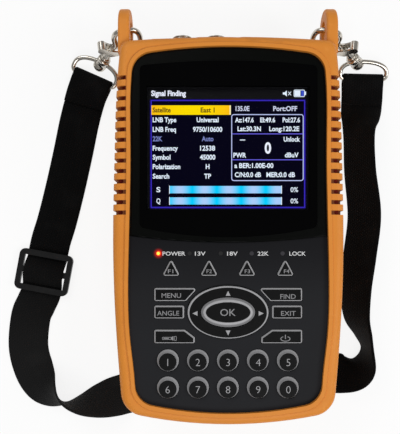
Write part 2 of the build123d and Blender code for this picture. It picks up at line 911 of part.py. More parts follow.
# Gimbal plate that carries the ring: low bumps on the X line, high bumps on the Y line
gimbal_low = nav_bottom
gimbal_top = gimbal_low + gimbal_thickness
gimbal_mid_x = ok_half_x + gimbal_gap + gimbal_width / 2
gimbal_mid_y = ok_half_y + gimbal_gap + gimbal_width / 2
with BuildPart() as nav_pivot:
    with BuildSketch(Plane.XY.offset(gimbal_low)):
        ellipse_at(gimbal_gap + gimbal_width, ok_half_x, ok_half_y)
        ellipse_at(gimbal_gap, ok_half_x, ok_half_y, mode=Mode.SUBTRACT)
    extrude(amount=gimbal_thickness)
    with BuildSketch(Plane.XY.offset(gimbal_low)):
        with Locations((nav_x - gimbal_mid_x, nav_y), (nav_x + gimbal_mid_x, nav_y)):
            Rectangle(gimbal_bump, gimbal_bump)
    extrude(amount=-(gimbal_low - mat_face - gimbal_seat_gap))
    with BuildSketch(Plane.XY.offset(gimbal_top)):
        with Locations((nav_x, nav_y - gimbal_mid_y), (nav_x, nav_y + gimbal_mid_y)):
            Rectangle(gimbal_bump, gimbal_bump)
    extrude(amount=recess_top - gimbal_top - gimbal_seat_gap)
nav_pivot.part.label = "nav_pivot"
export_step(nav_pivot.part, "parts/nav_pivot.step")

# Places of the domes, one under each key and four under the ring
dome_places = list(digit_places)
dome_places += [(x, f_key_bottom + f_key_height / 3) for x in f_key_xs]
for points in slant_keys.values():
    middle = sum((Vector(x, y) for x, y in points), Vector()) / len(points)
    dome_places.append((middle.X, middle.Y))
ring_mid_x = (nav_half_x + ok_half_x + nav_recess) / 2
ring_mid_y = (nav_half_y + ok_half_y + nav_recess) / 2
ring_places = [
    (nav_x, nav_y),
    (nav_x - ring_mid_x, nav_y),
    (nav_x + ring_mid_x, nav_y),
    (nav_x, nav_y - ring_mid_y),
    (nav_x, nav_y + ring_mid_y),
]

# Keypad mat with a pip under each pressed key
with BuildPart() as keypad_mat:
    with BuildSketch(Plane.XY.offset(mat_underside)):
        with Locations((0, (mat_top + mat_bottom) / 2)):
            Rectangle(2 * mat_half, mat_top - mat_bottom)
        with Locations(*post_places):
            Circle(post_radius + post_gap, mode=Mode.SUBTRACT)
    extrude(amount=mat_thickness)
    with BuildSketch(Plane.XY.offset(mat_face)):
        with Locations(*dome_places):
            Circle(mat_pip_radius)
    extrude(amount=mat_pip_height)
keypad_mat.part.label = "keypad_mat"
export_step(keypad_mat.part, "parts/keypad_mat.step")

with BuildPart() as dome_switches:
    with BuildSketch(Plane.XY.offset(domes_bottom)):
        with Locations(*dome_places, *ring_places):
            Circle(dome_radius)
    extrude(amount=dome_height)
dome_switches.part.label = "dome_switches"
export_step(dome_switches.part, "parts/dome_switches.step")

with BuildPart() as keypad_board:
    with BuildSketch(Plane.XY.offset(board_bottom)):
        with Locations((0, (mat_top + mat_bottom) / 2)):
            Rectangle(2 * mat_half, mat_top - mat_bottom)
        with Locations(*post_places):
            Circle(small_screw_radius + screw_gap, mode=Mode.SUBTRACT)
    extrude(amount=board_thickness)
keypad_board.part.label = "keypad_board"
export_step(keypad_board.part, "parts/keypad_board.step")

with BuildPart() as keypad_board_screws:
    with BuildSketch(Plane.XY.offset(board_bottom - small_screw_head_height)):
        with Locations(*post_places):
            Circle(small_screw_head)
    extrude(amount=small_screw_head_height)
    with BuildSketch(Plane.XY.offset(board_bottom)):
        with Locations(*post_places):
            Circle(small_screw_radius)
    extrude(amount=board_thickness + small_screw_reach)
keypad_board_screws.part.label = "keypad_board_screws"
export_step(keypad_board_screws.part, "parts/keypad_board_screws.step")

# Indicator lights
led_places = {
    "power_led_lens": [(power_led_x, led_y)],
    "status_led_lenses": [(x, led_y) for x in led_xs],
}
for name, places in led_places.items():
    with BuildPart() as lights:
        with BuildSketch(Plane.XY.offset(plate_bottom - led_flange_height)):
            with Locations(*places):
                Circle(led_flange_radius)
        extrude(amount=led_flange_height)
        with BuildSketch(Plane.XY.offset(plate_bottom)):
            with Locations(*places):
                Circle(led_radius)
        extrude(amount=plate_thickness + led_proud)
    lights.part.label = name
    export_step(lights.part, "parts/" + name + ".step")

# Main board and its screws
with BuildPart() as main_board:
    with BuildSketch(Plane.XY.offset(main_board_bottom)):
        with Locations((0, (main_board_top + main_board_end) / 2)):
            Rectangle(2 * main_board_half, main_board_top - main_board_end)
        with Locations(*standoff_places):
            Circle(small_screw_radius + screw_gap, mode=Mode.SUBTRACT)
    extrude(amount=main_board_thickness)
main_board.part.label = "main_board"
export_step(main_board.part, "parts/main_board.step")

with BuildPart() as main_board_screws:
    with BuildSketch(Plane.XY.offset(main_board_bottom + main_board_thickness)):
        with Locations(*standoff_places):
            Circle(small_screw_head)
    extrude(amount=small_screw_head_height)
    with BuildSketch(Plane.XY.offset(main_board_bottom - small_screw_reach)):
        with Locations(*standoff_places):
            Circle(small_screw_radius)
    extrude(amount=main_board_thickness + small_screw_reach)
main_board_screws.part.label = "main_board_screws"
export_step(main_board_screws.part, "parts/main_board_screws.step")

# Tuner can under the board
can_low = 2 * panel_z - main_board_bottom
with BuildPart() as tuner_can:
    with BuildSketch(Plane.XY.offset(can_low)):
        with Locations(((can_left + can_right) / 2, (can_rear + can_front) / 2)):
            RectangleRounded(can_right - can_left, can_front - can_rear, can_round)
    extrude(amount=main_board_bottom - can_low)
tuner_can.part.label = "tuner_can"
export_step(tuner_can.part, "parts/tuner_can.step")

# Threaded antenna connectors
for name, x in (("lnb_input_connector", lnb_input_x), ("lnb_loop_connector", lnb_loop_x)):
    with BuildPart() as connector:
        with BuildSketch(Plane.XZ.offset(-can_front)):
            with Locations((x, panel_z)):
                Circle(f_thread_radius - f_relief)
        extrude(amount=-(f_thread_end - can_front))
        with BuildSketch(Plane.XZ.offset(-(panel_face + nut_height))):
            with Locations((x, panel_z)):
                Circle(f_thread_radius)
        extrude(amount=-(f_thread_end - panel_face - nut_height))
        with BuildSketch(Plane.XZ.offset(-f_thread_end)):
            with Locations((x, panel_z)):
                Circle(f_core_radius)
        extrude(amount=f_core_depth, mode=Mode.SUBTRACT)
        with BuildSketch(Plane.XZ.offset(-(f_thread_end - f_core_depth))):
            with Locations((x, panel_z)):
                Circle(f_pin_radius)
        extrude(amount=-(f_core_depth - f_pin_end_gap))
    connector.part.label = name
    export_step(connector.part, "parts/" + name + ".step")

with BuildPart() as connector_nuts:
    with BuildSketch(Plane.XZ.offset(-panel_face)):
        with Locations((lnb_input_x, panel_z), (lnb_loop_x, panel_z)):
            RegularPolygon(nut_flats / 2, 6, major_radius=False)
            Circle(f_thread_radius - f_relief + screw_gap, mode=Mode.SUBTRACT)
    extrude(amount=-nut_height)
connector_nuts.part.label = "connector_nuts"
export_step(connector_nuts.part, "parts/connector_nuts.step")

# Sound and picture jack
inner_wall = top_end - case_inset - case_end_wall - top_sag
with BuildPart() as av_jack:
    with BuildSketch(Plane.XZ.offset(-jack_back)):
        with Locations((av_x, panel_z + (main_board_bottom - panel_z - av_width / 2) / 2)):
            Rectangle(av_width, main_board_bottom - panel_z + av_width / 2)
    extrude(amount=-(inner_wall - jack_back))
    with BuildSketch(Plane.XZ.offset(-inner_wall)):
        with Locations((av_x, panel_z)):
            Circle(av_collar)
    extrude(amount=-(panel_face - inner_wall))
    with BuildSketch(Plane.XZ.offset(-panel_face)):
        with Locations((av_x, panel_z)):
            Circle(av_bore)
    extrude(amount=panel_face - jack_back - case_wall, mode=Mode.SUBTRACT)
av_jack.part.label = "av_jack"
export_step(av_jack.part, "parts/av_jack.step")

# Charging jack with its centre pin
with BuildPart() as dc_jack:
    with BuildSketch(Plane.XZ.offset(-jack_back)):
        with Locations((dc_x, (main_board_bottom + panel_z - dc_width / 2) / 2)):
            Rectangle(dc_width, main_board_bottom - panel_z + dc_width / 2)
    extrude(amount=-(inner_wall - jack_back))
    with BuildSketch(Plane.XZ.offset(-inner_wall)):
        with Locations((dc_x, panel_z)):
            Circle(dc_bore + case_wall / 2)
    extrude(amount=-(panel_face - inner_wall))
    with BuildSketch(Plane.XZ.offset(-panel_face)):
        with Locations((dc_x, panel_z)):
            Circle(dc_bore)
            Circle(dc_pin, mode=Mode.SUBTRACT)
    extrude(amount=panel_face - jack_back - case_wall, mode=Mode.SUBTRACT)
dc_jack.part.label = "dc_jack"
export_step(dc_jack.part, "parts/dc_jack.step")

# Data socket with its tongue
with BuildPart() as usb_socket:
    with BuildSketch(Plane.XZ.offset(-jack_back)):
        with Locations((usb_x, panel_z)):
            Rectangle(usb_width, usb_height)
    extrude(amount=-(panel_face - jack_back))
    with BuildSketch(Plane.XZ.offset(-panel_face)):
        with Locations((usb_x, panel_z)):
            Rectangle(usb_width - 2 * usb_shell, usb_height - 2 * usb_shell)
    extrude(amount=usb_depth, mode=Mode.SUBTRACT)
    with BuildSketch(Plane.XZ.offset(-(panel_face - usb_depth))):
        with Locations((usb_x, panel_z + usb_height / 2 - usb_shell - usb_tongue / 2)):
            Rectangle(usb_width - 4 * usb_shell, usb_tongue)
    extrude(amount=-(usb_depth - usb_shell))
    with BuildSketch(Plane.XY.offset(panel_z + usb_height / 2)):
        with Locations((usb_x - usb_shell, (jack_back + inner_wall - usb_depth) / 2)):
            Rectangle(usb_width / 2, inner_wall - usb_depth - jack_back)
    extrude(amount=main_board_bottom - panel_z - usb_height / 2)
usb_socket.part.label = "usb_socket"
export_step(usb_socket.part, "parts/usb_socket.step")

# Torch lens in the panel
with BuildPart() as torch_lens:
    with BuildSketch(Plane.XZ.offset(-(inner_wall - torch_flange_height))):
        with Locations((torch_x, panel_z)):
            Circle(torch_flange)
    extrude(amount=-torch_flange_height)
    with BuildSketch(Plane.XZ.offset(-inner_wall)):
        with Locations((torch_x, panel_z)):
            Circle(torch_radius)
    extrude(amount=-(panel_face - inner_wall + torch_dome))
    fillet(torch_lens.faces().sort_by(Axis.Y)[-1].edges(), torch_dome)
torch_lens.part.label = "torch_lens"
export_step(torch_lens.part, "parts/torch_lens.step")

# Speaker over the grille in the back
with BuildPart() as speaker:
    with BuildSketch(Plane.XY.offset(case_floor)):
        with Locations((0, speaker_y)):
            Circle(speaker_radius)
    extrude(amount=speaker_height)
    with BuildSketch(Plane.XY.offset(case_floor)):
        with Locations((0, speaker_y)):
            Circle(speaker_cone_radius)
    extrude(amount=speaker_cone_depth, taper=speaker_cone_angle, mode=Mode.SUBTRACT)
speaker.part.label = "speaker"
export_step(speaker.part, "parts/speaker.step")

# Hooks: frames of reference, one set per side
hook_data = {}
for side, bar, angle, shift, height in (
    (-1, left_bar, left_bar_angle, left_hub_shift, left_loop_height),
    (1, right_bar, right_bar_angle, right_hub_shift, right_loop_height),
):
    along = Vector(cos(radians(angle)), sin(radians(angle)), 0)
    flat_up = Vector(-sin(radians(angle)), cos(radians(angle)), 0)
    centre = Vector(bar[0], bar[1], bar_z)
    hub = centre + along * shift + flat_up * height + Vector(0, 0, hub_z - bar_z)
    rise = flat_up * height + Vector(0, 0, hub_z - bar_z)
    ear = Vector(side * ear_offset, ear_y, ear_z)
    reach = ear - hub
    axis = reach.normalized()
    inward = Vector(-side, 0, 0).rotate(Axis((0, 0, 0), tuple(axis)), -side * hook_turn)
    away = (reach - inward * reach.dot(inward)).normalized()
    hook_data[side] = dict(
        along=along,
        centre=centre,
        hub=hub,
        rise=rise.normalized(),
        height=rise.length,
        axis=axis,
        ear=ear,
        inward=inward,
        away=away,
        across=reach.dot(inward),
        depth=reach.dot(away),
    )

# Shape of one hook in its own plane: x is inward from the ear's hole, y along the pull
hook_side = 6.5
hook_top = 0.3
hook_bend = 3.0
hook_flank_y = -10.2
nose_y = -15.6
nose_end_x = 4.4
nose_end_y = -17.7
pivot_share = 0.35
gate_end_x = 3.9
gate_end_y = -15.1
gate_half = 0.9
gate_cheek = 0.9
gate_gap = 0.1
gate_pin_radius = 0.8
gate_boss = 2.1
gate_bridge = 3.3
gate_heel = 0.4
thumb_shift = 4.0
thumb_rise = 3.4
thumb_half = 2.0
neck_length = 3.4
loop_shoulder_share = 0.45
loop_crown_share = 0.62

for side, label in ((-1, "left"), (1, "right")):
    data = hook_data[side]
    plane = Plane(origin=data["ear"], x_dir=data["inward"], z_dir=data["inward"].cross(data["away"]))
    hub_u = (-data["across"], -data["depth"])
    unit = Vector(data["across"], data["depth"]).normalized()
    foot = hub_length / 2 + collar_height
    foot_u = (hub_u[0] + unit.X * foot, hub_u[1] + unit.Y * foot)
    neck_u = (hub_u[0] + unit.X * (foot + neck_length), hub_u[1] + unit.Y * (foot + neck_length))
    pivot_x = neck_u[0] + (-hook_side - neck_u[0]) * pivot_share
    pivot_y = neck_u[1] + (hook_flank_y - neck_u[1]) * pivot_share
    thumb_x = pivot_x - thumb_shift
    thumb_y = pivot_y + thumb_rise
    neck_run = plane.x_dir * (-hook_side - neck_u[0]) + plane.y_dir * (hook_flank_y - neck_u[1])
    hub_plane = Plane(origin=data["hub"], z_dir=data["axis"])

    # D-loop with its swivel hub
    loop_plane = Plane(origin=data["centre"], x_dir=data["along"], z_dir=data["along"].cross(data["rise"]))
    high = data["height"]
    with BuildPart() as d_loop:
        with BuildLine(loop_plane) as ring:
            FilletPolyline(
                (loop_half, 0),
                (loop_half, high * loop_shoulder_share),
                (loop_half * loop_crown_share, high),
                (-loop_half * loop_crown_share, high),
                (-loop_half, high * loop_shoulder_share),
                (-loop_half, 0),
                radius=bar_radius + bar_gap,
                close=True,
            )
        with BuildSketch(Plane(origin=ring.line @ 0, z_dir=ring.line % 0)):
            Circle(bar_radius)
        sweep()
        with BuildSketch(hub_plane.offset(-hub_length / 2)):
            Circle(hub_radius)
        extrude(amount=hub_length)
        with BuildSketch(hub_plane.offset(-hub_length)):
            Circle(post_pin_radius + pin_gap)
        extrude(amount=2 * hub_length, mode=Mode.SUBTRACT)
    d_loop.part.label = label + "_d_loop"
    export_step(d_loop.part, "parts/" + label + "_d_loop.step")

    # Hook with its swivel post
    with BuildPart() as hook:
        with BuildLine(plane):
            FilletPolyline(
                neck_u,
                (-hook_side, hook_flank_y),
                (-hook_side, hook_top),
                (hook_side, hook_top),
                (hook_side, nose_y),
                (nose_end_x, nose_end_y),
                radius=[hook_bend / 2, hook_bend, hook_bend, hook_bend / 2],
            )
        neck_start = data["ear"] + plane.x_dir * neck_u[0] + plane.y_dir * neck_u[1]
        with BuildSketch(Plane(origin=neck_start, z_dir=neck_run)):
            Circle(wire_radius)
        sweep()
        with BuildSketch(hub_plane.offset(hub_length / 2)):
            Circle(collar_radius)
        extrude(amount=collar_height)
        with BuildSketch(hub_plane.offset(foot)):
            Circle(post_pin_radius + gate_heel)
        with BuildSketch(hub_plane.offset(foot + neck_length)):
            Circle(wire_radius)
        loft()
        with BuildSketch(hub_plane.offset(-hub_length / 2 - rivet_height)):
            Circle(post_pin_radius)
        extrude(amount=hub_length + rivet_height + collar_height)
        with BuildSketch(hub_plane.offset(-hub_length / 2 - rivet_height)):
            Circle(rivet_radius)
        extrude(amount=rivet_height)
        with BuildSketch(plane.offset(-gate_boss)):
            with Locations((pivot_x, pivot_y)):
                Circle(gate_pin_radius + pin_gap)
        extrude(amount=2 * gate_boss, mode=Mode.SUBTRACT)
    hook.part.label = label + "_hook"
    export_step(hook.part, "parts/" + label + "_hook.step")

    # Trigger: two cheeks, a pin, a gate and a thumb rest
    cheek_low = wire_radius + gate_gap
    with BuildPart() as trigger:
        for start in (cheek_low, -cheek_low - gate_cheek):
            with BuildSketch(plane.offset(start)):
                with Locations((pivot_x, pivot_y)):
                    Circle(gate_boss)
                with BuildLine():
                    Polyline(
                        (pivot_x, pivot_y + gate_boss),
                        (pivot_x + gate_bridge + gate_boss, pivot_y + gate_heel),
                        (pivot_x + gate_bridge + gate_boss, pivot_y - 2 * gate_half),
                        (pivot_x, pivot_y - gate_boss),
                        close=True,
                    )
                make_face()
                with BuildLine():
                    Polyline(
                        (pivot_x, pivot_y + gate_boss),
                        (thumb_x, thumb_y + thumb_half),
                        (thumb_x - thumb_half, thumb_y),
                        (pivot_x - gate_boss, pivot_y),
                        close=True,
                    )
                make_face()
            extrude(amount=gate_cheek)
        with BuildSketch(plane.offset(-cheek_low - gate_cheek / 2)):
            with Locations((pivot_x, pivot_y)):
                Circle(gate_pin_radius)
        extrude(amount=2 * cheek_low + gate_cheek)
        with BuildSketch(plane.offset(-cheek_low - gate_cheek)):
            with BuildLine():
                Polyline(
                    (pivot_x + gate_bridge, pivot_y + gate_heel),
                    (gate_end_x, gate_end_y + gate_half),
                    (gate_end_x, gate_end_y - gate_half),
                    (pivot_x + gate_bridge, pivot_y - 2 * gate_half),
                    close=True,
                )
            make_face()
        extrude(amount=2 * (cheek_low + gate_cheek))
        with BuildSketch(plane.offset(-cheek_low - gate_cheek)):
            with Locations((thumb_x, thumb_y)):
                Circle(thumb_half)
        extrude(amount=2 * (cheek_low + gate_cheek))
    trigger.part.label = label + "_trigger"
    export_step(trigger.part, "parts/" + label + "_trigger.step")

# Route of the strap: place of the middle, roll about its run and extra lift
slider_run = Vector(sin(radians(slider_angle)), cos(radians(slider_angle)))
strap_climb = slider_seat + slider_thickness + strap_thickness + 2 * strap_lift
right_run = Vector(sin(radians(-right_bar_angle)), -cos(radians(-right_bar_angle)))
strap_route = [
    (68.82, 74.35, 0, 0),
    (68.6, 67, -6, 0),
    (67.0, 57, -32, 0),
    (65.6, 48, -55, 0),
    (66.0, 30, -56, 0),
    (68.2, 8, -52, 0),
    (66.0, -12, -52, 0),
    (64.0, -28, -56, 0),
    (64.2, -42, -66, 0),
    (67.3, -51, -80, 0),
    (69.4, -58.5, -88, 0),
    (67.8, -65.5, -70, 0),
    (63.6, -69.4, -40, 0),
    (57.5, -70.8, -14, 0),
    (49.5, -71.5, 0, 0),
    (25, -73.9, 0, 0),
    (0, -76.3, 0, 0),
    (-25, -78.7, 0, 0),
    (-45, -80.7, 0, 0),
    (-54, -81.9, -20, 0),
    (-63, -83.3, -46, 0),
    (-71.5, -84.4, -74, 0),
    (-79, -84.2, -102, 0),
    (-86, -81.7, -134, 0),
    (-92.2, -76.4, -164, 0),
    (-96.8, -68.0, -180, 0),
    (-99.2, -57, -180, 0),
    (-98.0, -43, -180, 0),
    (-95.2, -36, -180, 0),
    (-92.95, -31.1, -180, 0),
    (-92.21, -27.38, -180, 0),
    (-91.3, -22.46, -180, 1),
    (-90.5, -18.14, -180, 1),
    (-89.59, -13.22, -180, 0),
    (-88.9, -9.5, -180, 0),
    (-87.5, -3.5, -180, 0),
    (-84.6, 6, -180, 0),
    (-80.6, 22, -180, 0),
    (-76.8, 39, -180, 0),
    (-73.3, 56, -180, 0),
    (-70.1, 67.6, -180, 0),
    (-67.17, 74.45, -180, 0),
]


def strap_sections():
    """Frames of the strap's sections along its route, with the thickness of each."""
    frames = []
    for i, (x, y, roll, climb) in enumerate(strap_route):
        before = strap_route[max(i - 1, 0)]
        after = strap_route[min(i + 1, len(strap_route) - 1)]
        run = Vector(after[0] - before[0], after[1] - before[1]).normalized()
        right = Vector(run.Y, -run.X)
        thick = 2 * strap_thickness if i < 3 or i > len(strap_route) - 4 else strap_thickness
        turn = radians(roll)
        wide = right * cos(turn) + Vector(0, 0, 1) * sin(turn)
        z = strap_lift + abs(sin(turn)) * strap_width / 2 + abs(cos(turn)) * thick / 2
        z = z + climb * strap_climb
        frames.append((Plane(origin=(x, y, z), x_dir=wide, z_dir=run), thick))
    return frames


with BuildPart() as shoulder_strap:
    for frame, thick in strap_sections():
        with BuildSketch(frame):
            Rectangle(strap_width, thick)
    loft(ruled=True)
    for side in (-1, 1):
        data = hook_data[side]
        with BuildSketch(Plane(origin=data["centre"] - data["along"] * (strap_width / 2), z_dir=data["along"])):
            Circle(bar_radius + bar_gap + strap_thickness)
        extrude(amount=strap_width)
    for side in (-1, 1):
        data = hook_data[side]
        with BuildSketch(Plane(origin=data["centre"] - data["along"] * strap_width, z_dir=data["along"])):
            Circle(bar_radius + bar_gap)
        extrude(amount=2 * strap_width, mode=Mode.SUBTRACT)
shoulder_strap.part.label = "shoulder_strap"
export_step(shoulder_strap.part, "parts/shoulder_strap.step")

# Three-bar slider on the strap
slider_plane = Plane(
    origin=(slider_x, slider_y, strap_lift + strap_thickness + slider_seat),
    x_dir=(slider_run.Y, -slider_run.X, 0),
    z_dir=(0, 0, 1),
)
slot_shift = (slider_slot_length + slider_bar) / 2
with BuildPart() as strap_slider:
    with BuildSketch(slider_plane):
        RectangleRounded(slider_width, slider_length, slider_corner)
        with Locations((0, slot_shift), (0, -slot_shift)):
            Rectangle(slider_slot_width, slider_slot_length, mode=Mode.SUBTRACT)
    extrude(amount=slider_thickness)
strap_slider.part.label = "strap_slider"
export_step(strap_slider.part, "parts/strap_slider.step")
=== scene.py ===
import json

import bpy
import numpy as np
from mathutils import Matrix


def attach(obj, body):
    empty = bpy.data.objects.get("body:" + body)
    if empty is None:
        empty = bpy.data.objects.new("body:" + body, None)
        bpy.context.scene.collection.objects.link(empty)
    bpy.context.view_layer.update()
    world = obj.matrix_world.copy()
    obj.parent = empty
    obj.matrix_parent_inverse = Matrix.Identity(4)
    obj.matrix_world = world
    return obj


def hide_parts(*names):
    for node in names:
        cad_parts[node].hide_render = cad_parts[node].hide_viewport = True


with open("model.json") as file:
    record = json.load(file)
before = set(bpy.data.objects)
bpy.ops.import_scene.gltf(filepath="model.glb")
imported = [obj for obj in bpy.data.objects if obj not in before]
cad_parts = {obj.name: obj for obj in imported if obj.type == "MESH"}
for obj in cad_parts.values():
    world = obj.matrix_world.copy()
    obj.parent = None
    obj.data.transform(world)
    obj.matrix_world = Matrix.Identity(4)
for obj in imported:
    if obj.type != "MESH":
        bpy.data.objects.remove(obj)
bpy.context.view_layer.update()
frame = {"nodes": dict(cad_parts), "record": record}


# Handheld satellite signal meter lying on its back. Every piece below is finished in the
# order in which the meter is put together: boot, shells, boards, keys, clasps, strap.


# Protective boot: one soft orange rubber moulding with two ears for the clasps. Its top edge
# is cut by fourteen slots a side and its flanks are scalloped for grip.
class Tone:
    """One socket of a finish. Sums and products of tones place Math nodes, and node()
    places any other node."""

    def __init__(self, tree, socket):
        self.tree = tree
        self.socket = socket

    def node(self, kind, settings=None, values=None, out=0):
        made = self.tree.nodes.new(kind)
        for name, value in (settings or {}).items():
            if name == "stops":
                ramp = made.color_ramp.elements
                while len(ramp) < len(value):
                    ramp.new(1.0)
                for stop, (place, shade) in zip(ramp, value):
                    stop.position = place
                    stop.color = shade
            else:
                setattr(made, name, value)
        for name, value in (values or {}).items():
            if isinstance(value, Tone):
                self.tree.links.new(value.socket, made.inputs[name])
            else:
                made.inputs[name].default_value = value
        return Tone(self.tree, made.outputs[out])

    def maths(self, operation, *terms):
        return self.node("ShaderNodeMath", {"operation": operation}, dict(enumerate(terms)))

    def __add__(self, other):
        return self.maths("ADD", self, other)

    def __sub__(self, other):
        return self.maths("SUBTRACT", self, other)

    def __rsub__(self, other):
        return self.maths("SUBTRACT", other, self)

    def __mul__(self, other):
        return self.maths("MULTIPLY", self, other)

    def __truediv__(self, other):
        return self.maths("DIVIDE", self, other)

    def __pow__(self, other):
        return self.maths("POWER", self, other)

    def __abs__(self):
        return self.maths("ABSOLUTE", self)

    __radd__ = __add__
    __rmul__ = __mul__


def paint(red, green, blue):
    """Screen colour from 0 to 255 as linear light: ((c + 0.055) / 1.055) to the power 2.4."""
    share = np.array([red, green, blue]) / 255
    light = np.where(share <= 0.04045, share / 12.92, ((share + 0.055) / 1.055) ** 2.4)
    return (*[float(c) for c in light], 1.0)


def finish(name, **constants):
    """A new material with its constant sockets set, and the place on the piece as a tone."""
    material = bpy.data.materials.new(name)
    material.use_nodes = True
    shader = material.node_tree.nodes["Principled BSDF"]
    for socket, value in constants.items():
        shader.inputs[socket.replace("_", " ")].default_value = value
    place = material.node_tree.nodes.new("ShaderNodeTexCoord").outputs["Object"]
    return material, Tone(material.node_tree, place)


def lay(material, **tones):
    """Link tones to the sockets of a material's shader."""
    shader = material.node_tree.nodes["Principled BSDF"]
    for socket, tone in tones.items():
        material.node_tree.links.new(tone.socket, shader.inputs[socket.replace("_", " ")])


def grain(place, scale, detail=2.0):
    """Cloudy noise from 0 to 1 with scale blots to the metre."""
    values = {"Vector": place, "Scale": scale, "Detail": detail}
    return place.node("ShaderNodeTexNoise", None, values)


def ease(tone, low, high):
    """Smooth step: 0 below low, 1 above high, and 3tt - 2ttt for the share t between."""
    values = {"Value": tone, "From Min": low, "From Max": high}
    return tone.node("ShaderNodeMapRange", {"interpolation_type": "SMOOTHSTEP"}, values)


def within(tone, edge, soft):
    """1 where the tone lies between -edge and edge, fading to 0 over soft beyond."""
    return 1.0 - ease(abs(tone), edge, edge + soft)


def blend(mask, under, over):
    """Colour that goes from under to over as the mask goes from 0 to 1."""
    return mask.node("ShaderNodeMix", {"data_type": "RGBA"}, {0: mask, 6: under, 7: over}, 2)


def relief(height, depth):
    """Surface direction bent by a height from 0 to 1 that is depth metres tall."""
    values = {"Height": height, "Distance": depth, "Strength": 1.0}
    return height.node("ShaderNodeBump", None, values)


def axes(place):
    """The three coordinates of a place."""
    split = place.node("ShaderNodeSeparateXYZ", None, {0: place}).socket.node
    return [Tone(place.tree, output) for output in split.outputs]


def coat(material, *names):
    """Give CAD nodes a finish."""
    for name in names:
        node = frame["nodes"][name]
        if not node.material_slots:
            node.data.materials.append(material)
        for slot in node.material_slots:
            slot.material = material


slot_pitch = 0.00459
slot_first = 0.0667
slot_last = slot_first - 13 * slot_pitch
slot_half = 0.00095
slot_mouth = 0.0450
slot_foot = 0.0278
slot_reach = 0.001
pad_half = (0.0335, 0.0325)
pad_middle = -0.006
pad_stripes = 310.0

boot_finish, place = finish("boot_finish", Specular_IOR_Level=0.26)
x, y, z = axes(place)
# The slots' walls and floors are painted dark maroon: painted shade of the deep grooves.
cycle = (slot_first - y) / slot_pitch + 0.5
offset = (cycle.maths("FRACT", cycle) - 0.5) * slot_pitch
slot_shade_mask = within(offset, slot_half - 0.00008, 0.00012)
slot_shade_mask = slot_shade_mask * ease(abs(x), slot_mouth, slot_mouth + 0.0004)
slot_shade_mask = slot_shade_mask * ease(z, slot_foot, slot_foot + 0.0003)
slot_shade_mask = slot_shade_mask * ease(y, slot_last - slot_reach - 0.0002, slot_last - slot_reach)
slot_shade_mask = slot_shade_mask * (1.0 - ease(y, slot_first + slot_reach, slot_first + slot_reach + 0.0002))
blotch = grain(place, 45.0, 3.0)
speck = grain(place, 2600.0, 2.0)
orange = blend(blotch, paint(222, 140, 52), paint(212, 129, 44))
# Sparse paler blots of orange are painted highlights.
orange = blend(ease(grain(place, 300.0, 4.0), 0.55, 0.8) * 0.35, orange, paint(228, 150, 66))
orange = blend(slot_shade_mask * 0.9, orange, paint(80, 25, 12))
back = 1.0 - ease(z, 0.00002, 0.0006)
pad = back * within(x, pad_half[0], 0.0005) * within(y - pad_middle, pad_half[1], 0.0005)
stripe = (x + y) * pad_stripes
stripe = abs(stripe.maths("FRACT", stripe) - 0.5) * 2.0
stripe = ease(stripe, 0.25, 0.6) * pad
lay(
    boot_finish,
    Base_Color=orange,
    Roughness=0.40 + blotch * 0.12 + speck * 0.1 + slot_shade_mask * 0.3,
    Normal=relief(speck * 0.05 + stripe, 0.0006),
)
coat(boot_finish, "protective_boot")


# Rear shell, its battery cover and their screws: black injection-moulded plastic with a
# fine spark-eroded grain, closed by four long steel screws and two short ones.
case_finish, place = finish("case_finish", Specular_IOR_Level=0.3)
spark = grain(place, 5200.0, 1.0)
smear = grain(place, 32.0, 3.0)
lay(
    case_finish,
    Base_Color=blend(smear, paint(31, 31, 33), paint(37, 37, 39)),
    Roughness=0.46 + spark * 0.16 + smear * 0.08,
    Normal=relief(spark, 0.00005),
)
coat(case_finish, "rear_case", "battery_cover")

steel_finish, place = finish("steel_finish", Metallic=1.0)
x, y = axes(place)[:2]
turning = (x * x + y * y) ** 0.5 * 9000.0
lay(
    steel_finish,
    Base_Color=blend(grain(place, 700.0), paint(188, 186, 182), paint(148, 147, 146)),
    Roughness=0.24 + grain(place, 1500.0) * 0.2,
    Normal=relief(turning.maths("SINE", turning) * 0.5 + 0.5, 0.00001),
)
coat(
    steel_finish,
    "case_screws",
    "battery_cover_screws",
    "keypad_board_screws",
    "main_board_screws",
)


# Battery pack: lithium cells in a blue heat-shrunk sleeve with a blank white label, laid in
# the well of the rear shell and held by the cover.
label_half = (0.018, 0.011)
label_middle = -0.0135

wrap_finish, place = finish("wrap_finish")
x, y = axes(place)[:2]
crease = grain(place, 260.0, 4.0)
label = within(x, label_half[0], 0.0002) * within(y - label_middle, label_half[1], 0.0002)
sleeve = blend(crease, paint(28, 70, 130), paint(44, 92, 158))
lay(
    wrap_finish,
    Base_Color=blend(label, sleeve, paint(222, 222, 216)),
    Roughness=0.28 + crease * 0.3,
    Normal=relief(crease, 0.0003),
)
coat(wrap_finish, "battery_pack")


# Circuit boards: green glass-fibre laminate with tinned tracks under the solder mask, each
# screwed to posts of the shells.
board_finish, place = finish("board_finish", Specular_IOR_Level=0.6)
net = {"Vector": place, "Scale": 420.0, "Randomness": 0.6}
track = place.node("ShaderNodeTexVoronoi", {"distance": "MANHATTAN", "feature": "F1"}, net)
copper = ease(abs(track - 0.32), 0.02, 0.035)
laminate = blend(copper, paint(62, 128, 66), paint(18, 78, 40))
pads = place.node("ShaderNodeTexVoronoi", None, {"Vector": place, "Scale": 900.0})
tinned = 1.0 - ease(pads, 0.1, 0.14)
lay(
    board_finish,
    Base_Color=blend(tinned, laminate, paint(206, 202, 190)),
    Roughness=0.38 - tinned * 0.15,
    Metallic=tinned,
    Normal=relief(copper, 0.00006),
)
coat(board_finish, "main_board", "keypad_board")


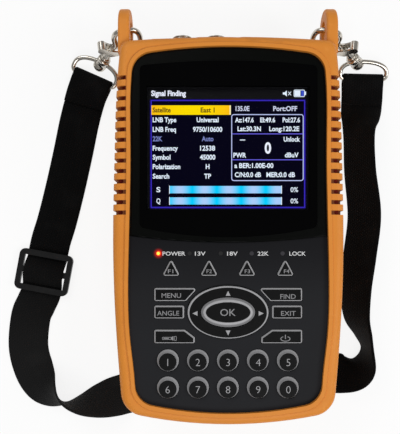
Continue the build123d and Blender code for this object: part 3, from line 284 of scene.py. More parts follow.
# Tuner can and screen tray: tin-plated sheet steel, folded and spot-soldered. The can stands
# on the main board, and the tray holds the screen panel.
tin_finish, place = finish("tin_finish", Metallic=1.0)
frost = grain(place, 380.0, 5.0)
drawing = (200.0, 6000.0, 200.0)
drawn = grain(place.node("ShaderNodeMapping", None, {"Vector": place, "Scale": drawing}), 1.0)
lay(
    tin_finish,
    Base_Color=blend(frost, paint(202, 203, 200), paint(166, 168, 168)),
    Roughness=0.26 + frost * 0.22,
    Normal=relief(drawn, 0.00003),
)
coat(tin_finish, "tuner_can", "lcd_frame")


# Antenna connectors: nickel-plated brass turned on a lathe, with a rolled thread of 32 turns
# to the inch, a white insulator and a gold spring contact, each held by a hexagon nut.
def closed_faces(rows, columns, wrap_rows=False):
    """Four-sided faces of a grid of points, row by row. Each row is a ring, and where the
    rows wrap, the last one is joined to the first."""
    row = np.arange(rows if wrap_rows else rows - 1)
    row, column = [a.ravel() for a in np.meshgrid(row, np.arange(columns), indexing="ij")]
    row_after = (row + 1) % rows
    column_after = (column + 1) % columns
    corners = (row, column), (row, column_after), (row_after, column_after), (row_after, column)
    return np.stack([r * columns + c for r, c in corners], axis=1)


def piece(name, points, faces, body, material, smooth=True):
    """A mesh piece from arrays of points and faces, riding on a body."""
    mesh = bpy.data.meshes.new(name)
    mesh.from_pydata(np.asarray(points, float), [], faces)
    mesh.update()
    mesh.materials.append(material)
    mesh.polygons.foreach_set("use_smooth", np.full(len(mesh.polygons), smooth))
    made = bpy.data.objects.new(name, mesh)
    bpy.context.scene.collection.objects.link(made)
    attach(made, body)
    return made


def turned_piece(outline, centre, sides, ridge=None):
    """A lathe-turned surface along +Y: radius r and distance come from the outline, the point
    at angle a lies at centre + (r cos a, distance, r sin a), and ridge adds to r."""
    radius, distance = np.array(outline, float).T
    angle = np.linspace(0, 2 * np.pi, sides, endpoint=False)
    radius = radius[:, None] + np.zeros(sides)
    if ridge is not None:
        radius = radius + ridge(distance[:, None], angle[None, :])
    points = np.stack(
        [
            centre[0] + radius * np.cos(angle),
            np.broadcast_to(centre[1] + distance[:, None], radius.shape),
            centre[2] + radius * np.sin(angle),
        ],
        axis=2,
    )
    faces = closed_faces(len(outline), sides)
    return points.reshape(-1, 3), faces[:, ::-1]


def mottled(name, pale, dark, blots, detail, dull, rise=None, **constants):
    """A finish worked by one noise of blots to the metre: its colour goes from pale to dark,
    its roughness is dull[0] plus dull[1] times the noise, and its relief is rise tall."""
    material, place = finish(name, **constants)
    noise = grain(place, blots, detail)
    colour = blend(noise, paint(*pale), paint(*dark))
    lay(material, Base_Color=colour, Roughness=dull[0] + noise * dull[1])
    if rise:
        lay(material, Normal=relief(noise, rise))
    return material


nickel = (214, 208, 196), (180, 174, 164)
nickel_finish = mottled("nickel_finish", *nickel, 240.0, 4.0, (0.16, 0.16), Metallic=1.0)
coat(nickel_finish, "connector_nuts")

gold_finish, place = finish("gold_finish", Metallic=1.0)
lay(
    gold_finish,
    Base_Color=blend(grain(place, 900.0), paint(214, 176, 96), paint(190, 148, 72)),
    Roughness=0.2 + grain(place, 2000.0) * 0.15,
)

insulator_finish, place = finish("insulator_finish", Subsurface_Weight=0.1)
lay(
    insulator_finish,
    Base_Color=blend(grain(place, 500.0), paint(232, 230, 222), paint(214, 212, 202)),
    Roughness=0.4 + grain(place, 1200.0) * 0.15,
)

thread_start = 0.0838
thread_end = 0.0915
thread_pitch = 0.000794
thread_depth = 0.00042
thread_fade = 0.0004
thread_radius = 0.00476
shank_radius = 0.00426
lip_radius = 0.00446
bore_radius = 0.0036
axis_radius = 0.0001
connector_back = 0.0764
connector_height = 0.019


def thread_ridge(distance, angle):
    """Rolled thread: a triangle wave of the turns, distance over pitch less angle over a full
    turn, which cuts thread_depth deep and dies out at both ends."""
    along = distance + connector_back
    turn = along / thread_pitch - angle / (2 * np.pi)
    wave = np.abs(turn - np.floor(turn) - 0.5) * 2
    begun = np.clip((along - thread_start) / thread_fade, 0, 1)
    left = np.clip((thread_end - 0.0005 - along) / thread_fade, 0, 1)
    return -thread_depth * wave * begun * left


for name, x_place in (("lnb_input", -0.021), ("lnb_loop", -0.005)):
    middle = (x_place, connector_back, connector_height)
    length = thread_end - connector_back
    shoulder = thread_start - connector_back
    shank = [(shank_radius, 0.0), (shank_radius, shoulder), (thread_radius, shoulder)]
    cut = [(thread_radius, d) for d in np.arange(shoulder + 0.0001, length - 0.0004, 0.0001)]
    mouth = [(thread_radius, length - 0.0004), (lip_radius, length), (0.0038, length)]
    bore = [(bore_radius, length - depth) for depth in (0.0002, 0.0012, 0.0014)]
    shell = [(axis_radius, 0.0), *shank, *cut, *mouth, *bore]
    points, faces = turned_piece(shell, middle, 64, thread_ridge)
    connector = piece(name + "_thread", points, faces, "meter", nickel_finish)
    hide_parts(name + "_connector")
    funnel = [(bore_radius, 0.0014), (0.0016, 0.0014), (0.0012, 0.0017), (0.0009, 0.0024)]
    funnel = funnel + [(0.00075, 0.0024), (0.00075, 0.006), (axis_radius, 0.006)]
    plug = [(radius, length - depth) for radius, depth in funnel]
    points, faces = turned_piece(plug, middle, 48)
    piece(name + "_insulator", points, faces, "meter", insulator_finish)
    spring = [(0.00088, 0.0023), (0.00078, 0.0020), (0.0005, 0.0020), (0.00045, 0.0058)]
    grip = [(radius, length - depth) for radius, depth in spring]
    points, faces = turned_piece(grip, middle, 32)
    piece(name + "_contact", points, faces, "meter", gold_finish)


# Sockets in the top end: jacks moulded in black nylon with glass fibre, and a data socket
# bent from plated steel, all behind the opening of the boot.
nylon = (20, 20, 21), (38, 38, 38), 3200.0, 3.0, (0.36, 0.2), 0.00003
coat(mottled("jack_finish", *nylon, Specular_IOR_Level=0.4), "av_jack", "dc_jack")
coat(tin_finish, "usb_socket")


# Torch lens: clear moulded acrylic dome in front of a white diode, set in the top end
# beside the sockets.
torch_middle = (-0.0326, 0.019)

torch_finish, place = finish("torch_finish", IOR=1.49, Transmission_Weight=0.6)
x, _, z = axes(place)
ring = ((x - torch_middle[0]) ** 2.0 + (z - torch_middle[1]) ** 2.0) ** 0.5
steps = ring * 14000.0
lay(
    torch_finish,
    Base_Color=blend(ease(ring, 0.0004, 0.0012), paint(250, 244, 206), paint(226, 230, 232)),
    Roughness=0.04 + grain(place, 900.0) * 0.05,
    Normal=relief(steps.maths("SINE", steps) * 0.5 + 0.5, 0.00004),
)
coat(torch_finish, "torch_lens")


# Speaker: black paper cone in a pressed rim, laid in the rear shell over the round holes of
# the grille.
paper = (24, 24, 24), (46, 45, 43), 2400.0, 4.0, (0.7, 0.2), 0.0001
coat(mottled("speaker_finish", *paper), "speaker")


# Keypad mat and domes: one sheet of grey moulded silicone under all keys, over stamped steel
# snap domes. The ring's gimbal piece has the same grey.
mat_finish, place = finish("mat_finish")
lay(
    mat_finish,
    Base_Color=blend(grain(place, 400.0), paint(96, 98, 100), paint(112, 114, 116)),
    Roughness=0.55 + grain(place, 1800.0) * 0.2,
    Normal=relief(grain(place, 1800.0), 0.00004),
)
coat(mat_finish, "keypad_mat", "nav_pivot")
coat(steel_finish, "dome_switches")


# Front shell: the same black plastic, with a raised screen bezel and a maroon band of painted
# shade under the boot's slots, the shadow inside the orange rubber grooves. A painted red glow of
# the power light lies on it for a few millimetres round.
power_light = (-0.031, -0.011)
slot_shade_edge = 0.0452

front_finish, place = finish("front_finish", Specular_IOR_Level=0.08, Emission_Strength=1.0)
x, y, z = axes(place)
spark = grain(place, 5200.0, 1.0)
smear = grain(place, 32.0, 3.0)
black = blend(smear, paint(30, 30, 32), paint(36, 37, 40))
# The face darkens towards the screen bezel above: painted shade under the bezel.
black = blend(ease(y, -0.035, 0.0), black, paint(20, 20, 23))
bezel = ease(z, 0.0399, 0.0405)
# Maroon painted shade where the case shows through the boot's slots.
slot_shade_band = ease(abs(x), slot_shade_edge, slot_shade_edge + 0.0002) * ease(z, 0.0385, 0.0390)
# A painted red glow, as emission, spreads over the face round the power light.
near = ((x - power_light[0]) ** 2.0 + (y - power_light[1]) ** 2.0) ** 0.5
painted_glow = (1.0 - ease(near, 0.0006, 0.0030)) ** 2.0
lay(
    front_finish,
    Base_Color=blend(slot_shade_band, blend(bezel, black, paint(2, 3, 2)), paint(98, 22, 14)),
    Roughness=0.44 + spark * 0.14 + smear * 0.08 - bezel * 0.22,
    Normal=relief(spark, 0.00004),
    Emission_Color=blend(painted_glow, paint(0, 0, 0), paint(215, 30, 12)),
)
coat(front_finish, "front_case")


# Screen: a colour liquid-crystal panel in its tray. The picture is a plain list of settings
# beside a panel of readings, with two level bars, and is lit from behind.
view_foot = (-0.0126, -0.0117)
view_height = 0.322
view_middle = (200, 255)
pixel = 0.00044 / 0.280


def seen_at(column, row, height):
    """The place at a height that the camera sees at a pixel of the 400 x 434 frame: the foot
    of the camera plus the pixel's offset times the distance times the size of a pixel."""
    reach = pixel * (view_height - height)
    across, up = column - view_middle[0], view_middle[1] - row
    return np.array([view_foot[0] + across * reach, view_foot[1] + up * reach])


panel_finish, place = finish("panel_finish", Specular_IOR_Level=0.2)
lay(
    panel_finish,
    Base_Color=blend(grain(place, 60.0), paint(4, 4, 8), paint(7, 7, 12)),
    Roughness=0.3 + grain(place, 900.0) * 0.1,
)
coat(panel_finish, "lcd_panel")

picture_finish, place = finish(
    "picture_finish", Roughness=0.6, Specular_IOR_Level=0.0, Emission_Strength=1.15
)
shade = place.node("ShaderNodeAttribute", {"attribute_name": "shade"})
columns = axes(place)[0] * 7600.0
dots = columns.maths("SINE", columns * 6.2832) * 0.08 + 0.96
lay(
    picture_finish,
    Base_Color=blend(grain(place, 60.0), paint(0, 0, 0), paint(2, 2, 2)),
    Emission_Color=shade.node(
        "ShaderNodeVectorMath", {"operation": "SCALE"}, {0: shade, "Scale": dots}
    ),
)


def letters(words, middle, height, span=None, weight=0.0, lean="centre"):
    """Flat letters as arrays of points and triangles: capitals of that height, drawn out or
    squeezed to the span, with the middle of the line (or its left end) at the place."""
    measured = []
    for text in ("H", words):
        line = bpy.data.curves.new("line", "FONT")
        line.body = text
        line.resolution_u = 3
        line.offset = weight
        holder = bpy.data.objects.new("line", line)
        mesh = bpy.data.meshes.new_from_object(holder)
        points = np.empty(len(mesh.vertices) * 3)
        mesh.vertices.foreach_get("co", points)
        points = points.reshape(-1, 3)[:, :2]
        mesh.calc_loop_triangles()
        faces = np.empty(len(mesh.loop_triangles) * 3, int)
        mesh.loop_triangles.foreach_get("vertices", faces)
        measured.append((points, faces.reshape(-1, 3)))
        bpy.data.objects.remove(holder)
        bpy.data.curves.remove(line)
        bpy.data.meshes.remove(mesh)
    capital = np.ptp(measured[0][0][:, 1])
    foot = measured[0][0][:, 1].min()
    points, faces = measured[1]
    scale = height / capital
    left, right = points[:, 0].min(), points[:, 0].max()
    wide = scale if span is None else span / (right - left)
    start = left if lean == "left" else (left + right) / 2
    across = middle[0] + (points[:, 0] - start) * wide
    up = middle[1] + (points[:, 1] - foot - capital / 2) * scale
    return np.stack([across, up], axis=1), faces


def bar(low, high, steps=1):
    """An upright rectangle between two corners, cut into steps along X."""
    across = np.linspace(low[0], high[0], steps + 1)
    points = np.stack([np.tile(across, 2), np.repeat([low[1], high[1]], steps + 1)], axis=1)
    i = np.arange(steps)
    return points, np.stack([i, i + 1, i + steps + 2, i + steps + 1], axis=1)


def band(low, high, thick, corner, steps=6):
    """The border of a rounded rectangle, thick wide inside its edge: two rings of points, each
    a corner circle's centre plus its radius times the cosine and sine of the angle."""
    swing = np.tile(np.linspace(0, np.pi / 2, steps + 1), 4)
    turn = np.repeat(np.arange(4) * np.pi / 2, steps + 1) + swing
    (left, foot), (right, top) = np.add(low, corner), np.subtract(high, corner)
    centre_x = np.repeat([right, left, left, right], steps + 1)
    centre_y = np.repeat([top, top, foot, foot], steps + 1)
    rings = [
        np.stack([centre_x + r * np.cos(turn), centre_y + r * np.sin(turn)], axis=1)
        for r in (corner, max(corner - thick, 0.0))
    ]
    if corner < thick:
        rings[1] = np.clip(rings[1], np.add(low, thick), np.subtract(high, thick))
    count = len(turn)
    i = np.arange(count)
    after = (i + 1) % count
    return np.vstack(rings), np.stack([i, after, after + count, i + count], axis=1)


def joined(shapes):
    """Several shapes as one: their points in one array, and their faces counted on."""
    starts = np.cumsum([0] + [len(points) for points, faces in shapes])
    faces = [face for start, shape in zip(starts, shapes) for face in (shape[1] + start).tolist()]
    return np.vstack([points for points, faces in shapes]), faces


def at_height(shape, height):
    """A flat shape with its points raised to a height."""
    points, faces = shape
    return np.hstack([points, np.full((len(points), 1), height)]), faces


picture_z = 0.03783
picture, picture_shades = [], []


def draw(shape, colour, lift=1):
    """Add a flat shape to the picture, lift hundredths of a millimetre over the panel. The
    colour is one for all points or one for each."""
    picture.append(at_height(shape, picture_z + lift * 0.00001))
    picture_shades.append(np.broadcast_to(np.array(colour, float), (len(shape[0]), 4)))


def on_screen(left, top, right, bottom):
    """Corners on the panel for a box of the frame's pixels."""
    return seen_at(left, bottom, picture_z), seen_at(right, top, picture_z)


white = paint(228, 240, 255)
dim = paint(120, 130, 190)
blue = paint(58, 44, 190)
yellow = paint(255, 222, 0)
draw(bar(*on_screen(149.5, 99.5, 306.5, 208.6)), paint(6, 5, 22), 0)
draw(band(*on_screen(150.6, 99.9, 305.2, 208.0), 0.00052, 0.0004), blue)
draw(band(*on_screen(149.9, 99.2, 305.9, 208.7), 0.00042, 0.0006), paint(24, 16, 96))
highlight = bar(*on_screen(151.4, 105.4, 230.6, 114.8), 24)
along = np.tile(np.linspace(-1, 1, 25), 2)[:, None] ** 2
amber = np.array(paint(255, 190, 20))
draw(highlight, np.array(yellow) * (1 - along) + amber * along, 2)
draw(bar(*on_screen(229.6, 105.4, 230.8, 114.8)), paint(255, 244, 190), 3)
draw(band(*on_screen(231.3, 114.2, 303.6, 181.0), 0.00036, 0.0012), paint(190, 200, 250), 2)
for row in (133.9, 159.8):
    draw(bar(*on_screen(232.0, row - 0.4, 303.0, row + 0.4)), paint(104, 96, 225), 2)
header = letters("Signal Finding", seen_at(151.2, 93.3, picture_z), 0.0025, 0.0155, 0.036, "left")
draw(header, paint(236, 240, 255), 3)

list_rows = [
    ("Satellite", 18.0, "East 1", 14.0, 110.0, paint(96, 76, 20)),
    ("LNB Type", 23.6, "Universal", 22.0, 119.8, white),
    ("LNB Freq", 23.2, "9750/10600", 29.4, 129.4, white),
    ("22K", 9.6, "Auto", 11.8, 138.8, dim),
    ("Frequency", 25.2, "12538", 15.0, 148.2, white),
    ("Symbol", 17.8, "45000", 15.6, 157.2, white),
    ("Polarization", 27.6, "H", 3.8, 166.6, white),
    ("Search", 16.6, "TP", 7.0, 176.2, white),
]
row_reach = pixel * (view_height - picture_z)
stroke = 0.028
list_size = 0.00225
reading_size = 0.0022
for label, label_width, value, value_width, row, colour in list_rows:
    at = seen_at(152.7, row, picture_z)
    draw(letters(label, at, list_size, label_width * row_reach, stroke, "left"), colour, 3)
    at = seen_at(207.6, row, picture_z)
    draw(letters(value, at, list_size, value_width * row_reach, stroke), colour, 3)

pale = paint(205, 210, 235)
readings = [
    ("135.0E", 242.5, 108.6, 13.8, pale),
    ("Port:OFF", 285.2, 108.6, 24.0, pale),
    ("Az:147.6", 244.4, 120.0, 18.6, white),
    ("El:49.6", 267.7, 120.0, 15.0, white),
    ("Pol:27.6", 291.3, 120.0, 17.4, white),
    ("Lat:30.3N", 249.2, 128.8, 23.4, white),
    ("Long:120.2E", 284.2, 128.8, 30.0, white),
    ("Unlock", 291.8, 139.2, 16.4, white),
    ("PWR", 239.8, 155.2, 12.8, white),
    ("dBuV", 291.7, 155.0, 13.8, white),
    ("a BER:1.00E-00", 253.9, 165.6, 39.0, white),
    ("C/N:0.0 dB", 247.9, 174.7, 26.2, white),
    ("MER:0.0 dB", 280.7, 174.7, 28.6, white),
]
for words, column, row, width, colour in readings:
    at = seen_at(column, row, picture_z)
    draw(letters(words, at, reading_size, width * row_reach, stroke), colour, 3)
no_value = seen_at(242.5, 140.0, picture_z)
draw(bar(no_value - [0.0012, 0.0002], no_value + [0.0012, 0.0002]), white, 3)
draw(letters("0", seen_at(267.9, 148.0, picture_z), 0.0051, 0.0029, 0.03), paint(235, 240, 255), 3)

cyan = np.array(paint(0, 206, 255))
lavender = np.array(paint(170, 206, 252))
waves = 4.6
for top, bottom, letter in ((186.0, 193.3, "S"), (197.4, 204.5, "Q")):
    level = (top + bottom) / 2
    shape = bar(*on_screen(169.2, top, 281.9, bottom), 96)
    along = np.tile(np.linspace(0, 1, 97), 2)
    share = (0.5 + 0.5 * np.sin(along * 2 * np.pi * waves - 1.2))[:, None]
    draw(shape, cyan * (1 - share) + lavender * share, 2)
    for edge_at in (169.2, 281.2):
        draw(bar(*on_screen(edge_at, top - 0.4, edge_at + 0.7, bottom + 0.4)), white, 3)
    draw(letters(letter, seen_at(158.4, level, picture_z), 0.0023, 0.0018, 0.02), white, 3)
    at = seen_at(294.3, level, picture_z)
    draw(letters("0%", at, reading_size, 0.0034, 0.012), white, 3)

mute_at = seen_at(285.5, 93.5, picture_z)
cone = np.array([[-12, -5], [-4, -5], [6, -14], [6, 14], [-4, 5], [-12, 5]]) * 0.0001
draw((cone + mute_at, np.array([[0, 1, 4, 5], [1, 2, 3, 4]])), white, 3)
cross = np.array([[11, -7], [13, -9], [26, 7], [24, 9]]) * 0.0001
for lean in (-1, 1):
    draw((cross * [1, lean] + mute_at, np.array([[0, 1, 2, 3][::lean]])), white, 3)
draw(band(*on_screen(293.7, 89.7, 304.8, 97.0), 0.0003, 0.0006), white, 3)
draw(bar(*on_screen(294.6, 90.6, 300.4, 96.1)), white, 3)
draw(bar(*on_screen(301.2, 90.6, 303.8, 96.1)), paint(60, 80, 200), 3)
draw(bar(*on_screen(304.8, 91.6, 306.0, 95.0)), white, 3)

points, faces = joined(picture)
screen_picture = piece("screen_picture", points, faces, "meter", picture_finish, False)
shades = screen_picture.data.attributes.new("shade", "FLOAT_COLOR", "POINT")
shades.data.foreach_set("color", np.vstack(picture_shades).astype(np.float32).ravel())


# Screen lens: clear acrylic sheet, printed black behind all but the window and glued in its
# seat in the bezel.
lens_top = 0.0400
print_edge = 0.0001

lens_finish, place = finish("lens_finish", Specular_IOR_Level=0.05)
low, high = seen_at(146.8, 209.6, lens_top), seen_at(309.2, 86.6, lens_top)
beyond = []
for along, start, stop in zip(axes(place), low.tolist(), high.tolist()):
    middle, half = (start + stop) / 2, (stop - start) / 2
    beyond.append(ease(abs(along - middle), half - print_edge, half + print_edge))
printed = place.maths("MAXIMUM", *beyond)
lay(
    lens_finish,
    Base_Color=blend(grain(place, 25.0), paint(1, 1, 1), paint(3, 3, 4)),
    Roughness=0.04 + grain(place, 60.0, 4.0) * 0.05,
    Alpha=0.06 + printed * 0.94,
)
coat(lens_finish, "screen_lens")


# Indicator lights: coloured epoxy light guides pushed into the face, with their names
# printed in white beside them. The power light is on.
lit_finish, place = finish("lit_finish", Roughness=0.3, Emission_Strength=1.6)
x, y = axes(place)[:2]
near = ((x - power_light[0] + 0.0001) ** 2.0 + (y - power_light[1]) ** 2.0) ** 0.5
rim = ease(near, 0.0003, 0.00095)
lay(
    lit_finish,
    Base_Color=blend(rim, paint(255, 190, 60), paint(200, 30, 14)),
    Emission_Color=blend(rim, paint(255, 205, 70), paint(235, 44, 16)),
)
coat(lit_finish, "power_led_lens")

smoke_finish, place = finish("smoke_finish", IOR=1.5, Coat_Weight=0.4)
paler = ease(axes(place)[0], 0.0, 0.012)
lay(
    smoke_finish,
    Base_Color=blend(paler, paint(12, 11, 13), paint(44, 42, 48)),
    Roughness=0.25 + grain(place, 900.0) * 0.15,
)
coat(smoke_finish, "status_led_lenses")

white_ink = (226, 226, 226), (196, 196, 198), 1400.0, 3.0, (0.5, 0.15)
ink_finish = mottled("ink_finish", *white_ink, Specular_IOR_Level=0.3)
face_top = 0.0398
ink_lift = 0.00003
label_row = 253.6
label_size = 0.00176
face_reach = pixel * (view_height - face_top)
labels = [
    letters(words, seen_at(column, label_row, face_top), label_size, width * face_reach, 0.014)
    for words, column, width in (
        ("POWER", 173.9, 22.8),
        ("13V", 200.2, 10.6),
        ("18V", 232.4, 10.6),
        ("22K", 263.1, 11.0),
        ("LOCK", 297.5, 16.4),
    )
]
points, faces = at_height(joined(labels), face_top + ink_lift)
piece("light_labels", points, faces, "meter", ink_finish, False)


# Keys: hard caps of light grey plastic painted black on top, so that the grey shows as a line
# round each cap. The legends are laser-etched through the paint.
bodies = frame["record"]["behaviour"]["bodies"]
body_with = {node: body for body, nodes in bodies.items() for node in nodes}


def cap_finish(name, top, soften=0.00022, light=(164, 164, 166), thinner=0.0003, groove=0.0):
    """Grey sides that turn black at the height of the cap's top face. The sides that face the
    user are painted lower down by thinner, so that their line is thinner, and groove darkens
    the grey half a millimetre below the top."""
    material, place = finish(name, Specular_IOR_Level=0.14)
    z = axes(place)[2]
    facing = axes(place.node("ShaderNodeNewGeometry", None, None, "True Normal"))[1]
    near_side = (1.0 - ease(facing, -0.6, -0.1)) * thinner
    painted = ease(z + near_side, top - soften, top - soften * 0.35)
    rub = grain(place, 700.0, 3.0)
    shadow = 1.0 - ease(z, face_top - 0.0002, face_top + 0.0002)
    grey = blend(rub, paint(*light), paint(*[c + 24 for c in light]))
    valley = ease(z, top - 0.0014, top - 0.0009) * (1.0 - ease(z, top - 0.0005, top - 0.0003))
    grey = blend(valley * groove, grey, paint(64, 64, 66))
    grey = blend(shadow, grey, paint(18, 18, 19))
    lay(
        material,
        Base_Color=blend(painted, grey, paint(6, 6, 7)),
        Roughness=0.36 + rub * 0.14,
        Normal=relief(grain(place, 4200.0), 0.00002),
    )
    return material


grey_ink = (150, 150, 152), (122, 122, 124), 1600.0, 3.0, (0.5, 0.15)
legend_finish = mottled("legend_finish", *grey_ink, Specular_IOR_Level=0.3)
key_top = 0.0408
flat_key_finish = cap_finish("flat_key_finish", key_top)


def legend(key, shapes, top, material=legend_finish):
    """Flat etched shapes on a key's top face, moving with the key."""
    points, faces = at_height(joined(shapes), top + ink_lift)
    piece(key + "_legend", points, faces, body_with[key], material, False)


key_reach = pixel * (view_height - key_top)
function_row = 271.3
function_size = 0.00165
function_width = 5.4 * key_reach
word_size = 0.00205
for i, column in enumerate((170.6, 209.2, 247.4, 286.6)):
    key = f"f{i + 1}_key"
    coat(flat_key_finish, key)
    at = seen_at(column, function_row, key_top)
    legend(key, [letters(f"F{i + 1}", at, function_size, function_width, 0.01)], key_top)
for key, words, column, row, width in (
    ("menu_key", "MENU", 171.3, 295.5, 19.4),
    ("angle_key", "ANGLE", 168.2, 313.2, 22.0),
    ("find_key", "FIND", 288.0, 296.5, 15.4),
    ("exit_key", "EXIT", 288.4, 313.4, 14.6),
):
    coat(flat_key_finish, key)
    at = seen_at(column, row, key_top)
    legend(key, [letters(words, at, word_size, width * key_reach, 0.004)], key_top)

coat(flat_key_finish, "torch_key", "power_key")
torch_at = seen_at(169.4, 338.4, key_top)
collar = np.array([[9, -6], [18, -10], [18, 10], [9, 6]]) * 0.0001
torch_shapes = [
    band(torch_at + [-0.0032, -0.0006], torch_at + [0.0009, 0.0006], 0.00022, 0.0003),
    bar(torch_at + [-0.0026, -0.0002], torch_at + [-0.0002, 0.0002]),
    (torch_at + collar, np.array([[0, 1, 2, 3]])),
    band(torch_at + [0.0021, -0.0010], torch_at + [0.0032, 0.0010], 0.00022, 0.0003),
]
legend("torch_key", torch_shapes, key_top)
power_at = seen_at(285.4, 338.8, key_top)
turn = np.linspace(np.radians(118), np.radians(422), 33)
arc = [
    power_at + np.stack([half_x * np.cos(turn), half_y * np.sin(turn)], axis=1)
    for half_x, half_y in ((0.0022, 0.0012), (0.00185, 0.00086))
]
i = np.arange(32)
arc_faces = np.stack([i + 34, i + 1, i, i + 33], axis=1)
stem = bar(power_at + [-0.00019, -0.0001], power_at + [0.00019, 0.0018])
legend("power_key", [(np.vstack(arc), arc_faces), stem], key_top)


# Digit keys: domed round caps of the same painted plastic. They lean to the user, so that
# the grey side shows as a crescent.
digit_top = 0.0419
digit_pitch = 0.01328
digit_rows = (-0.0590, -0.0710)
digit_size = 0.0031
digit_middle = -0.00025
digit_finish = cap_finish("digit_finish", digit_top, 0.00034, (158, 158, 160), 0.0, 0.25)
light_ink = (172, 172, 174), (146, 146, 148), 1600.0, 3.0, (0.5, 0.15)
digit_ink = mottled("digit_ink", *light_ink)
for i, digit in enumerate("1234567890"):
    key = "digit_key_" + digit
    coat(digit_finish, key)
    at = (digit_middle + (i % 5 - 2) * digit_pitch, digit_rows[i // 5])
    legend(key, [letters(digit, at, digit_size, None, -0.014)], digit_top, digit_ink)


# Navigation ring and OK key: black rocking ring with a grey rim and four etched arrows, on a
# gimbal, round a raised oval key with a broad grey bevel.
ring_top = 0.0411
ring_middle = (-0.0002, -0.037)
ring_half = (0.0179, 0.01165)

ring_finish, place = finish("ring_finish", Specular_IOR_Level=0.14)
x, y, z = axes(place)
round_x = (x - ring_middle[0]) / ring_half[0]
round_y = (y - ring_middle[1]) / ring_half[1]
out = (round_x * round_x + round_y * round_y) ** 0.5
upward = ease(y - ring_middle[1], -0.004, 0.0095)
rim = ease(out + upward * 0.022, 0.957, 0.964)
# The grey of the rim turns black near the face: painted shadow at the ring's foot.
foot_shadow = 1.0 - ease(z, face_top + 0.0001, face_top + 0.0004)
rub = grain(place, 700.0, 3.0)
grey = blend(rub, paint(150, 150, 152), paint(172, 172, 174))
lay(
    ring_finish,
    Base_Color=blend(rim * (1.0 - foot_shadow), paint(7, 7, 8), grey),
    Roughness=0.34 + rub * 0.16,
    Normal=relief(grain(place, 4200.0), 0.00002),
)
coat(ring_finish, "nav_ring")
arrow = np.array([[-0.00105, -0.0010], [0.00105, -0.0010], [0.0, 0.0012]])
arrow_places = [(-0.0002, -0.0287), (-0.0147, -0.0375), (-0.0002, -0.0460), (0.0143, -0.0375)]
arrows = []
for quarter, at in enumerate(arrow_places):
    swing = quarter * np.pi / 2
    turned = np.array([[np.cos(swing), np.sin(swing)], [-np.sin(swing), np.cos(swing)]])
    arrows.append((arrow @ turned + at, np.array([[0, 1, 2]])))
legend("nav_ring", arrows, ring_top, digit_ink)

ok_top = 0.0418
ok_finish = cap_finish("ok_finish", ok_top, 0.00012, (158, 158, 160), 0.0, 0.65)
coat(ok_finish, "ok_key")
legend("ok_key", [letters("OK", (-0.0003, -0.0370), 0.0030, 0.0068, 0.004)], ok_top)


# Clasps: die-cast and wire-formed snap hooks, swivelling in D-loops of bent steel wire, all
# bright nickel plated and rubbed dull where metal runs on metal.
clasp_finish, place = finish("clasp_finish", Metallic=1.0)
wear = grain(place, 320.0, 4.0)
rubbing = (3000.0, 300.0, 900.0)
scratch = place.node("ShaderNodeMapping", None, {"Vector": place, "Scale": rubbing})
lay(
    clasp_finish,
    Base_Color=blend(wear, paint(226, 221, 212), paint(176, 168, 156)),
    Roughness=0.12 + wear * 0.16,
    Normal=relief(grain(scratch, 1.0, 3.0), 0.00002),
)


def smooth_rows(rows, steps):
    """A smooth curve through the rows: between b and c of each four rows a, b, c, d it is
    half of 2b + (c-a)t + (2a-5b+4c-d)t^2 + (3b-a-3c+d)t^3, for t from 0 to 1."""
    padded = np.vstack([2 * rows[0] - rows[1], rows, 2 * rows[-1] - rows[-2]])
    a, b, c, d = padded[:-3], padded[1:-2], padded[2:-1], padded[3:]
    t = np.linspace(0, 1, steps, endpoint=False)[:, None, None]
    bend, twist = 2 * a - 5 * b + 4 * c - d, 3 * b - a - 3 * c + d
    part = (2 * b + (c - a) * t + bend * t**2 + twist * t**3) / 2
    return np.vstack([part.transpose(1, 0, 2).reshape(-1, rows.shape[1]), rows[-1:]])


def unit(vectors):
    """Each vector divided by its length."""
    return vectors / np.linalg.norm(vectors, axis=-1, keepdims=True)


def outward(points, faces):
    """The faces, turned over if the closed surface's volume, a sixth of the sum over its
    triangles of a . (b x c), comes out negative."""
    a, b, c, d = [points[faces[:, i]] for i in range(4)]
    volume = (a * np.cross(b, c)).sum() + (a * np.cross(c, d)).sum()
    return faces if volume > 0 else faces[:, ::-1]


def tube(path, radius, normal, closed):
    """Round wire through the path's points. At each, the circle is the point plus radius
    times cos a along the path's normal and sin a beside it. An open wire ends in a dome."""
    sides = 20
    path, radius = np.asarray(path), np.broadcast_to(radius, len(path))
    if closed:
        tangent = unit(np.roll(path, -1, axis=0) - np.roll(path, 1, axis=0))
    else:
        tangent = unit(np.gradient(path, axis=0))
        dome = np.linspace(0, np.pi / 2 - 0.02, 7)[1:, None]
        path = np.vstack([path, path[-1] + radius[-1] * np.sin(dome) * tangent[-1]])
        radius = np.hstack([radius, radius[-1] * np.cos(dome[:, 0])])
        tangent = np.vstack([tangent, np.repeat(tangent[-1:], len(dome), axis=0)])
    beside = np.cross(tangent, normal)
    turn = np.linspace(0, 2 * np.pi, sides, endpoint=False)[None, :, None]
    rim = np.cos(turn) * normal + np.sin(turn) * beside[:, None]
    points = (path[:, None] + radius[:, None, None] * rim).reshape(-1, 3)
    return points, outward(points - points.mean(0), closed_faces(len(path), sides, closed))


def lathe(outline, centre, axis):
    """A turned form: each radius and distance of the outline, in mm, is a circle about the
    axis, at the centre plus the distance along it."""
    sides = 40
    radius, distance = np.array(outline).T / 1000
    turn = np.linspace(0, 2 * np.pi, sides, endpoint=False)[None, :, None]
    first = unit(np.cross(axis, [0.0, 1.0, 0.0]))
    rim = np.cos(turn) * first + np.sin(turn) * np.cross(axis, first)
    points = distance[:, None, None] * axis + radius[:, None, None] * rim
    faces = outward(points.reshape(-1, 3), closed_faces(len(outline), sides))
    return points.reshape(-1, 3) + centre, faces


loop_half = 0.0115
loop_corner = 0.0022
crown_width, crown_rise = 0.92, 0.72
wire_radius = 0.0011
